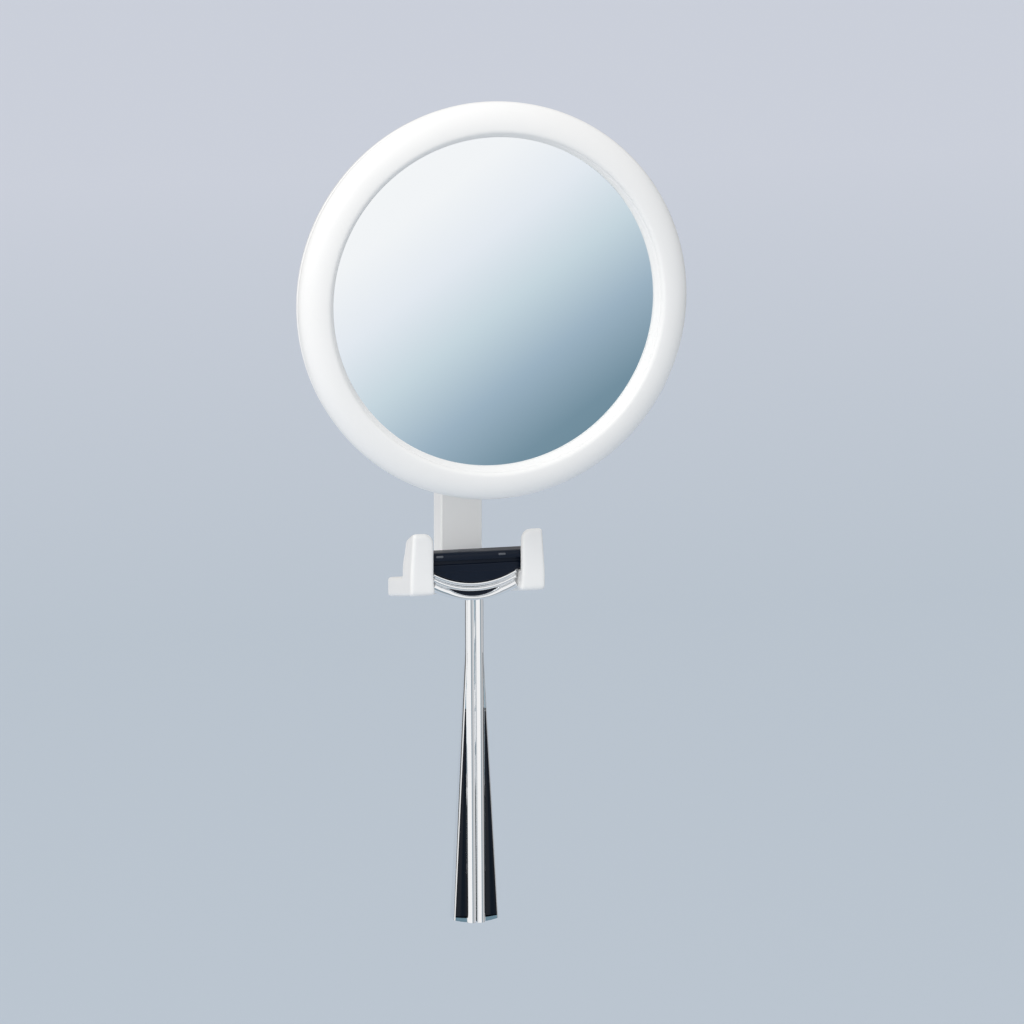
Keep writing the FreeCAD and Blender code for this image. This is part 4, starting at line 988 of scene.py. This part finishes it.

# %% [markdown]
# The bridge is the black web between the head and the yoke. Its lower edge is a shallow arc, and the
# yoke's bands repeat that arc, so one helper draws it for both. A thin black tray hangs from the bridge
# behind the yoke's slot: it is a dark sheet that paints the shade seen in the slot.

# %% Bridge
def sagging(half, level, sag, steps=48):
    """Points of a circular arc from left to right that sags below a level."""
    radius = (half * half + sag * sag) / (2 * sag)
    points = []
    for step in range(steps + 1):
        x = -half + 2 * half * step / steps
        points.append((x, level - sag + radius - math.sqrt(radius * radius - x * x)))
    return points


BRIDGE_SAG = 4.2 * MM
TRAY_DROP = 6.2 * MM
TRAY_TOP = 2 * MM
TRAY_HALF_THICKNESS = 0.8 * MM
arc = sagging(yoke_half, cartridge.low, BRIDGE_SAG)
bridge_top = cartridge.low + 0.3 * MM
bridge_outline = [(-yoke_half, bridge_top), *arc, (yoke_half, bridge_top)]
bridge_face = plate_mesh("bridge_face", "front", yoke.back + 0.1 * MM, head_front - 1.2 * MM,
                         bridge_outline, edge=0.35 * MM)
# The tray is a black sheet behind the yoke's slot that paints the shade seen in the slot.
tray_half, tray_top = 0.75 * yoke_half, cartridge.low - TRAY_TOP
tray_arc = [(x, z - TRAY_DROP) for x, z in arc if abs(x) <= tray_half]
tray_outline = [(-tray_half, tray_top), *tray_arc, (tray_half, tray_top)]
bridge_tray = plate_mesh("bridge_tray", "front", razor_depth - TRAY_HALF_THICKNESS,
                         razor_depth + TRAY_HALF_THICKNESS, tray_outline, edge=0.2 * MM)
bridge = joined("bridge_moulding", [bridge_face, bridge_tray], head_black)
place(bridge, "razor", "black_plastic", "razor_bridge")

# %% [markdown]
# Two small metal clips hold the blades down and show on the head's front edge. They are plates with
# round ends, sunk most of their thickness into the plastic, so only a thin face stands out.

# %% Head clips
clips = []
CLIP_X = (-14.3 * MM, 10.1 * MM)
CLIP_HALF = 1.4 * MM
clip_low, clip_high = cartridge.high - 1.75 * MM, cartridge.high - 0.95 * MM
for x in CLIP_X:
    outline = box_outline(x - CLIP_HALF, x + CLIP_HALF, clip_low, clip_high, 0.35 * MM)
    clips.append(plate_mesh("head_clip", "front", head_front - 0.6 * MM, head_front + 0.12 * MM, outline,
                            edge=0.12 * MM))
head_clips = joined("head_clips", clips, satin_dark)
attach(head_clips, "razor")
print("clips", len(head_clips.data.polygons), "faces")

# %% [markdown]
# The razor has two blades, one above the other, in the recess on the side that faces the wall. Each
# is a thin strip, and the lower one is ground back along its edge. Two plates are enough for that.

# %% Blades
strips = []
BLADE_HEIGHT = 1.6 * MM
BLADE_GRIND = 0.5 * MM
for low, grind in ((blades.low, BLADE_GRIND), (blades.high - BLADE_HEIGHT, 0)):
    high = low + BLADE_HEIGHT
    outline = rounded([(-blades.back, low + grind, 0.05 * MM), (-blades.back, high, 0.05 * MM),
                       (-blades.front, high, 0.05 * MM), (-blades.front, low, 0.05 * MM)], 2)
    strips.append(plate_mesh("blade", "side", blades.left, blades.right, outline, edge=0.03 * MM))
razor_blades = joined("blade_strips", strips, blade_steel)
place(razor_blades, "razor", "blade_steel", "razor_blades")

# %% [markdown]
# ## The yoke
# Under the black bridge hangs a bright crescent: two thin round bands, a narrow dark slot shaped like
# a lens, and a deeper band below it. Each band is a sweep along its own arc with a rounded section,
# because it is the round section that draws the bright lines along the plating.

# %% Yoke
BAND = 1.95 * MM
SLOT_HALF_LENGTH = 10.8 * MM
SLOT_HEIGHT = 1.4 * MM
BAND_OVERLAP = 1.06            # each upper band is a little wider than its share, so none stands free
UPPER_THICKNESS, LOWER_THICKNESS = 4.2 * MM, 4.9 * MM
yoke_drop = cartridge.low - BRIDGE_SAG - yoke.low
inside = [(x * 0.994, z) for x, z in arc]
bands = []
for number in range(2):
    line = [(x, z - (number + 0.5) * BAND) for x, z in inside]
    widths = [BAND * BAND_OVERLAP] * len(line)
    bands.append(sweep("upper_band", line, widths, UPPER_THICKNESS, razor_depth, chrome))
lower_line, lower_width = [], []
for x, z in inside:
    slot = SLOT_HEIGHT * max(0, 1 - (x / SLOT_HALF_LENGTH) ** 2)
    top = z - 2 * BAND - slot + 0.1 * MM
    bottom = z - yoke_drop
    lower_line.append((x, (top + bottom) / 2))
    lower_width.append(top - bottom)
bands.append(sweep("lower_band", lower_line, lower_width, LOWER_THICKNESS, razor_depth, chrome))
razor_yoke = joined("yoke_crescent", bands, chrome)
place(razor_yoke, "razor", "razor_chrome", "razor_yoke")

# %% [markdown]
# ## The handle
# The handle is a narrow neck that flares and thickens downwards, with two round ribs side by side on
# each face and black inlays between a rib and the rim. It is lofted: at each level the outline is
# worked out from the same few rules, and the levels are joined. Booleans would leave seams in the
# chrome, and seams show at once in a mirror finish.

# %% Handle rules
NECK_LENGTH = 23 * MM
NECK_HALF = 3.45 * MM
END_HALF = handle.right
THICKNESS_TOP, THICKNESS_END = 3.2 * MM, 6.8 * MM
RIB_RADIUS = 1.75 * MM
RIB_CENTRE = RIB_RADIUS + 0.08 * MM
NECK_BLEND = 3 * MM          # half the length over which the neck turns into the flare
EDGE_ROUND = 0.45 * MM
INLAY_LEAST = 0.2 * MM       # a pocket narrower than this is left out
RIB_TOP, RIB_END = 0.4 * MM, 3.2 * MM
INLAY_START = 42.4 * MM
INLAY_DEPTH = 1 * MM
RIM = 0.38 * MM
INLAY_END = 1.2 * MM
END_SAG = 1.2 * MM
END_ROUND = 0.5 * MM
END_CAP = 0.3 * END_ROUND      # how far the rounded end bulges past the last level
HANDLE_LENGTH = handle.high - handle.low - END_SAG - END_CAP
handle_top = handle.high
print("handle length", round((handle.high - handle.low) / MM, 1), "mm")


def half_width(drop):
    flare = max(0, drop - NECK_LENGTH) / (HANDLE_LENGTH - NECK_LENGTH)
    if abs(drop - NECK_LENGTH) < NECK_BLEND:
        share = (drop - NECK_LENGTH + NECK_BLEND) / (2 * NECK_BLEND)
        flare = share * share * NECK_BLEND / (HANDLE_LENGTH - NECK_LENGTH)
    return NECK_HALF + (END_HALF - NECK_HALF) * flare


def half_thickness(drop):
    return (THICKNESS_TOP + (THICKNESS_END - THICKNESS_TOP) * drop / HANDLE_LENGTH) / 2


def rib_offset(drop):
    return RIB_TOP + (RIB_END - RIB_TOP) * drop / HANDLE_LENGTH


def inlay_share(drop):
    """How deep the pocket is at this level, from 0 above it to 1 inside it."""
    into = (drop - INLAY_START) / (1.2 * MM)
    out = (HANDLE_LENGTH - INLAY_END - drop) / (0.5 * MM)
    return max(0, min(1, into, out))


def rib_height(x, drop):
    """Depth of the ribs above the handle's middle plane at a distance x from its axis."""
    away = abs(x) - RIB_CENTRE
    if abs(away) >= RIB_RADIUS:
        return 0
    return rib_offset(drop) + math.sqrt(RIB_RADIUS * RIB_RADIUS - away * away)


def face_profile(drop):
    """Half outline of one face, from the axis to the edge: (x, height above the middle plane)."""
    edge, thick = half_width(drop), half_thickness(drop)
    round_edge = min(EDGE_ROUND, thick * 0.5)
    points = []
    for step in range(19):
        angle = math.radians(180 - 180 * step / 18)
        x = RIB_CENTRE + RIB_RADIUS * math.cos(angle)
        ground = thick * (0.98 if x > RIB_RADIUS else 0.7)
        points.append((min(x, edge - round_edge), max(rib_height(x, drop), ground)))
    rib_side = points[-1][0]
    rim_inner = max(edge - RIM, rib_side + 0.02 * MM)
    pocket = rim_inner - rib_side
    floor = thick - (INLAY_DEPTH * inlay_share(drop) if pocket >= INLAY_LEAST else 0)
    points += [(rib_side + pocket * share, floor) for share in (0.01, 0.5, 0.99)]
    points += [(rim_inner, thick), (max(edge - round_edge, rim_inner), thick)]
    points += ellipse_arc((edge - round_edge, thick - round_edge), round_edge, round_edge, 90, 0, 4)[1:]
    return points


# %% [markdown]
# The rules above give half of one face at any level. Here each level's half is mirrored twice into a
# closed ring of points, the rings are stacked from the neck down, and faces join them. Extra levels
# sit where the inlay pockets begin and end, so those steps come out crisp.

# %% Handle mesh
END_BOW = 3 * MM             # the last stretch, over which the end's bow grows


def bowed(x, z, drop):
    """The handle's end is a shallow bow: lower in the middle than at the sides."""
    share = max(0, (drop - HANDLE_LENGTH + END_BOW) / END_BOW)
    return z - END_SAG * (1 - (x / END_HALF) ** 2) * share


levels = [HANDLE_LENGTH * n / 90 for n in range(91)]
levels += [INLAY_START + n * 0.3 * MM for n in range(5)]
levels += [HANDLE_LENGTH - INLAY_END - n * 0.125 * MM for n in range(5)]
levels = sorted(set(round(level, 6) for level in levels))
vertices = []
for drop in levels:
    half = face_profile(drop)
    front = [(-x, depth) for x, depth in reversed(half)] + half[1:]
    section = front + [(x, -depth) for x, depth in reversed(front)]
    ring_size = len(section)
    for x, depth in section:
        vertices.append((x, -(razor_depth + depth), bowed(x, handle_top - drop, drop)))
narrower, thinner = 1 - END_ROUND / END_HALF, 1 - END_ROUND / (THICKNESS_END / 2)
for x, y, z in vertices[-ring_size:]:
    vertices.append((x * narrower, -razor_depth + (y + razor_depth) * thinner, z - END_CAP))
handle_mesh = bpy.data.meshes.new("razor_handle_plated")
handle_mesh.from_pydata(vertices, [], loft_faces(len(vertices), ring_size))
razor_handle = piece_from_mesh("razor_handle_plated", tidy_mesh(handle_mesh, math.radians(40)), chrome)
place(razor_handle, "razor", "razor_chrome", "razor_handle")

# %% [markdown]
# The inlays are strips of black enamel-like plastic that fill the pockets. Each is slightly crowned,
# which is what draws one long streak of light down it instead of lighting it all at once.

# %% Handle inlays
strip_start = INLAY_START + 1.3 * MM
strip_length = HANDLE_LENGTH - INLAY_END - 0.5 * MM - strip_start
inlay_levels = [strip_start + strip_length * n / 60 for n in range(61)]
ACROSS = 13                  # points across a strip's crowned top
CROWN = 0.32 * MM
inner = 2 * RIB_RADIUS + 0.15 * MM


def inlay_section(drop, side, face):
    """One ring of points across a strip: its crowned top, then the two corners of its floor."""
    outer = max(half_width(drop) - RIM - 0.06 * MM, inner + 0.05 * MM)
    surface = half_thickness(drop)
    crown = min(CROWN, (outer - inner) * 0.12)
    shares = [step / (ACROSS - 1) for step in range(ACROSS)]
    heights = [surface - 0.25 * MM + math.sin(math.pi * share) ** 0.5 * crown for share in shares]
    shares += [1, 0]
    heights += [surface - INLAY_DEPTH + 0.08 * MM] * 2
    points = []
    for share, height in zip(shares, heights):
        x = side * (inner + (outer - inner) * share)
        points.append((x, -(razor_depth + face * height), bowed(x, handle_top - drop, drop)))
    return points


strips = []
for face in (-1, 1):
    for side in (-1, 1):
        vertices = []
        for drop in inlay_levels:
            vertices += inlay_section(drop, side, face)
        strip = bpy.data.meshes.new("inlay")
        strip.from_pydata(vertices, [], loft_faces(len(vertices), ACROSS + 2))
        strips.append(tidy_mesh(strip))
handle_inlays = joined("handle_inlay_strips", strips, inlay_black)
place(handle_inlays, "razor", "black_inlay", "handle_inlays")

# %% [markdown]
# ## CAD nodes that stay
# The rail, its cap and cover strip, the lattice bars, washers, sleeves and glides already have their
# true shapes. They keep the CAD mesh and get the finishes above.

# %% Finishes for the CAD nodes
KEPT = {
    ring_white: ["wall_rail", "rail_top_cap", "rail_front_cover"],
    brushed_steel: ["lattice_bar_inner_a", "lattice_bar_inner_b", "lattice_bar_outer_a",
                    "lattice_bar_outer_b"],
    nylon: ["bar_washers_inner", "bar_washers_outer", "rail_glides", "bracket_glides", "rail_pivot_sleeves",
            "bracket_pivot_sleeves", "swivel_washers", "tilt_washers"],
    pin_steel: ["rail_pivot_pin", "rail_glide_axle", "bracket_glide_axle", "bracket_pivot_pin",
                "holder_screw", "swivel_studs"],
}
for material, names in KEPT.items():
    for name in names:
        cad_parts[name].material_slots[0].material = material
    print(material.name, "on", len(names), "nodes")

# %% [markdown]
# ## Floor, light and camera
# The object hangs in front of a plain pale studio. A full floor would fill the lower half of what the
# glass and the plating mirror, and both would go flat. So the floor is a limited sheet that starts
# just in front of the object and runs away behind it. Its paint carries painted light: darker near the
# object, lighter towards its far end.

# %% Floor
FLOOR_DROP = 300 * MM
FLOOR_LEFT, FLOOR_FRONT, FLOOR_FAR = -0.7, -0.5, 9
FLOOR_RIGHT, FLOOR_FAR_RIGHT = 1.2, 3.4
# Painted light on the floor: its paint fades from darker to lighter between these two distances.
PAINTED_LIGHT_START, PAINTED_LIGHT_END = 0.5, 5.5        # the paint changes between these two distances
floor_level = handle.low - FLOOR_DROP
floor_mesh = bpy.data.meshes.new("floor")
floor_mesh.from_pydata([
    (FLOOR_LEFT, FLOOR_FRONT, floor_level), (FLOOR_RIGHT, FLOOR_FRONT, floor_level),
    (FLOOR_FAR_RIGHT, FLOOR_FAR, floor_level), (FLOOR_LEFT, FLOOR_FAR, floor_level),
], [], [(0, 1, 2, 3)])
floor_paint, shader = finish("pale_floor", (0.56, 0.62, 0.7), roughness=0.9)
floor_nodes, floor_links = floor_paint.node_tree.nodes, floor_paint.node_tree.links
floor_place = floor_nodes.new("ShaderNodeTexCoord")
floor_axes = floor_nodes.new("ShaderNodeSeparateXYZ")
floor_painted_light_fade = floor_nodes.new("ShaderNodeMapRange")
floor_painted_light_fade.inputs["From Min"].default_value = PAINTED_LIGHT_START
floor_painted_light_fade.inputs["From Max"].default_value = PAINTED_LIGHT_END
floor_links.new(floor_place.outputs["Object"], floor_axes.inputs["Vector"])
floor_links.new(floor_axes.outputs["Y"], floor_painted_light_fade.inputs["Value"])
# Painted light: the floor's colour runs from darker near the object to lighter far away.
tint(floor_paint, shader, floor_painted_light_fade.outputs["Result"], (0.5, 0.57, 0.65), (0.63, 0.67, 0.76))
floor = piece_from_mesh("floor", floor_mesh, floor_paint)
print("floor", round(FLOOR_DROP / MM), "mm below the handle")

# %% [markdown]
# The light is a studio made of the world itself. Its colour depends on how far a ray points to the
# upper left: a broad bright side there, a short steep fade, and a cool blue-grey on the other side.
# The flat glass mirrors only the fade, so it shows a soft diagonal change from white to blue.

# %% World light
world = bpy.data.worlds.new("studio")
bpy.context.scene.world = world
world.use_nodes = True
nodes, links = world.node_tree.nodes, world.node_tree.links
nodes.clear()
direction = nodes.new("ShaderNodeTexCoord").outputs["Generated"]


def along(vector):
    """How far the direction of a ray points along a vector, from -1 to 1."""
    product = nodes.new("ShaderNodeVectorMath")
    product.operation = "DOT_PRODUCT"
    product.inputs[1].default_value = vector
    links.new(direction, product.inputs[0])
    return product.outputs["Value"]


def between(value, start, end, low, high):
    """Map a value's range on to another, with a soft start and end."""
    step = nodes.new("ShaderNodeMapRange")
    step.interpolation_type = "SMOOTHSTEP"
    for socket, number in (("From Min", start), ("From Max", end), ("To Min", low), ("To Max", high)):
        step.inputs[socket].default_value = number
    links.new(value, step.inputs["Value"])
    return step.outputs["Result"]


def combined(operation, first, second):
    step = nodes.new("ShaderNodeMath")
    step.operation = operation
    links.new(first, step.inputs[0])
    links.new(second, step.inputs[1])
    return step.outputs["Value"]


to_unit = nodes.new("ShaderNodeMapRange")
to_unit.inputs["From Min"].default_value = -1
BRIGHT_SIDE = (-0.6, 0, 0.8)
links.new(along(BRIGHT_SIDE), to_unit.inputs["Value"])
ramp = nodes.new("ShaderNodeValToRGB")
SKY_COLOURS = [
    (-0.9, (0.66, 0.66, 0.665)), (-0.55, (0.5, 0.51, 0.53)), (-0.33, (0.14, 0.23, 0.29)),
    (-0.2987, (0.155, 0.26, 0.32)), (-0.2922, (0.26, 0.36, 0.47)), (-0.2861, (0.444, 0.565, 0.648)),
    (-0.2799, (0.642, 0.737, 0.788)), (-0.2737, (0.818, 0.852, 0.905)), (-0.2644, (0.97, 0.965, 0.97)),
    (0.6, (0.95, 0.945, 0.94)),
]
while len(ramp.color_ramp.elements) < len(SKY_COLOURS):
    ramp.color_ramp.elements.new(0.5)
for element, (level, colour) in zip(ramp.color_ramp.elements, SKY_COLOURS):
    element.position = (level + 1) / 2
    element.color = (*colour, 1)
links.new(to_unit.outputs["Result"], ramp.inputs["Fac"])
print("world colours", len(SKY_COLOURS))

# %% [markdown]
# Bright metal needs something dark to mirror, or it looks like grey paint. A low dark band behind the
# object does that: the plating's edges pick it up, while light from above and in front is untouched.
# The floor hides the band from the camera in the front view. From the side it can be seen.

# %% Dark band behind
BEHIND, UP = (0.26, 0.966, 0), (0, 0, 1)
DARKNESS = 0.85
behind = between(along(BEHIND), 0.1, 0.3, 0, DARKNESS)
above = between(along(UP), 0.1, 0.4, 1, 0)
brightness = nodes.new("ShaderNodeMath")
brightness.operation = "SUBTRACT"
brightness.inputs[0].default_value = 1
links.new(combined("MULTIPLY", behind, above), brightness.inputs[1])
background = nodes.new("ShaderNodeBackground")
output = nodes.new("ShaderNodeOutputWorld")
links.new(brightness.outputs["Value"], background.inputs["Strength"])
links.new(ramp.outputs["Color"], background.inputs["Color"])
links.new(background.outputs["Background"], output.inputs["Surface"])
print("dark band", DARKNESS)

# %% [markdown]
# One large round lamp at the left models the ring. A wide disc gives a soft edge to the shading, and
# a small one would draw a hard spot on the white plastic.

# %% Lamp
KEY_PLACE, KEY_SIZE, KEY_POWER = (-1.5, -1.3, 1.2), 0.9, 10


def soft_lamp(name, position, aim, size, power):
    lamp = bpy.data.lights.new(name, "AREA")
    lamp.shape = "DISK"
    lamp.size = size
    lamp.energy = power
    lamp_object = linked(name, lamp)
    lamp_object.location = position
    lamp_object.rotation_euler = (Vector(aim) - Vector(position)).to_track_quat("-Z", "Y").to_euler()


soft_lamp("key_left", KEY_PLACE, (0, 0, 0), KEY_SIZE, KEY_POWER)
print("key lamp", KEY_POWER, "W")

# %% [markdown]
# The camera stands a little to the left and above, far away with a long lens. Distance keeps the
# ring's near and far sides the same size, as a product picture does.

# %% Camera
AZIMUTH, ELEVATION, DISTANCE = math.radians(-15.3), math.radians(10.5), 3.0
SENSOR, LENS = 36, 278.5
AIM = Vector((14.7 * MM, -30 * MM, centre_z - 85.5 * MM))
camera_data = bpy.data.cameras.new("camera")
camera_data.sensor_width = SENSOR
camera_data.lens = LENS
camera_data.clip_end = 50
camera = linked("camera", camera_data)
camera.location = AIM + DISTANCE * Vector((
    math.sin(AZIMUTH) * math.cos(ELEVATION), -math.cos(AZIMUTH) * math.cos(ELEVATION), math.sin(ELEVATION)))
camera.rotation_euler = (AIM - camera.location).to_track_quat("-Z", "Y").to_euler()
bpy.context.scene.camera = camera
bpy.context.scene.view_settings.view_transform = "Standard"
print("camera", DISTANCE, "m away, lens", LENS, "mm")
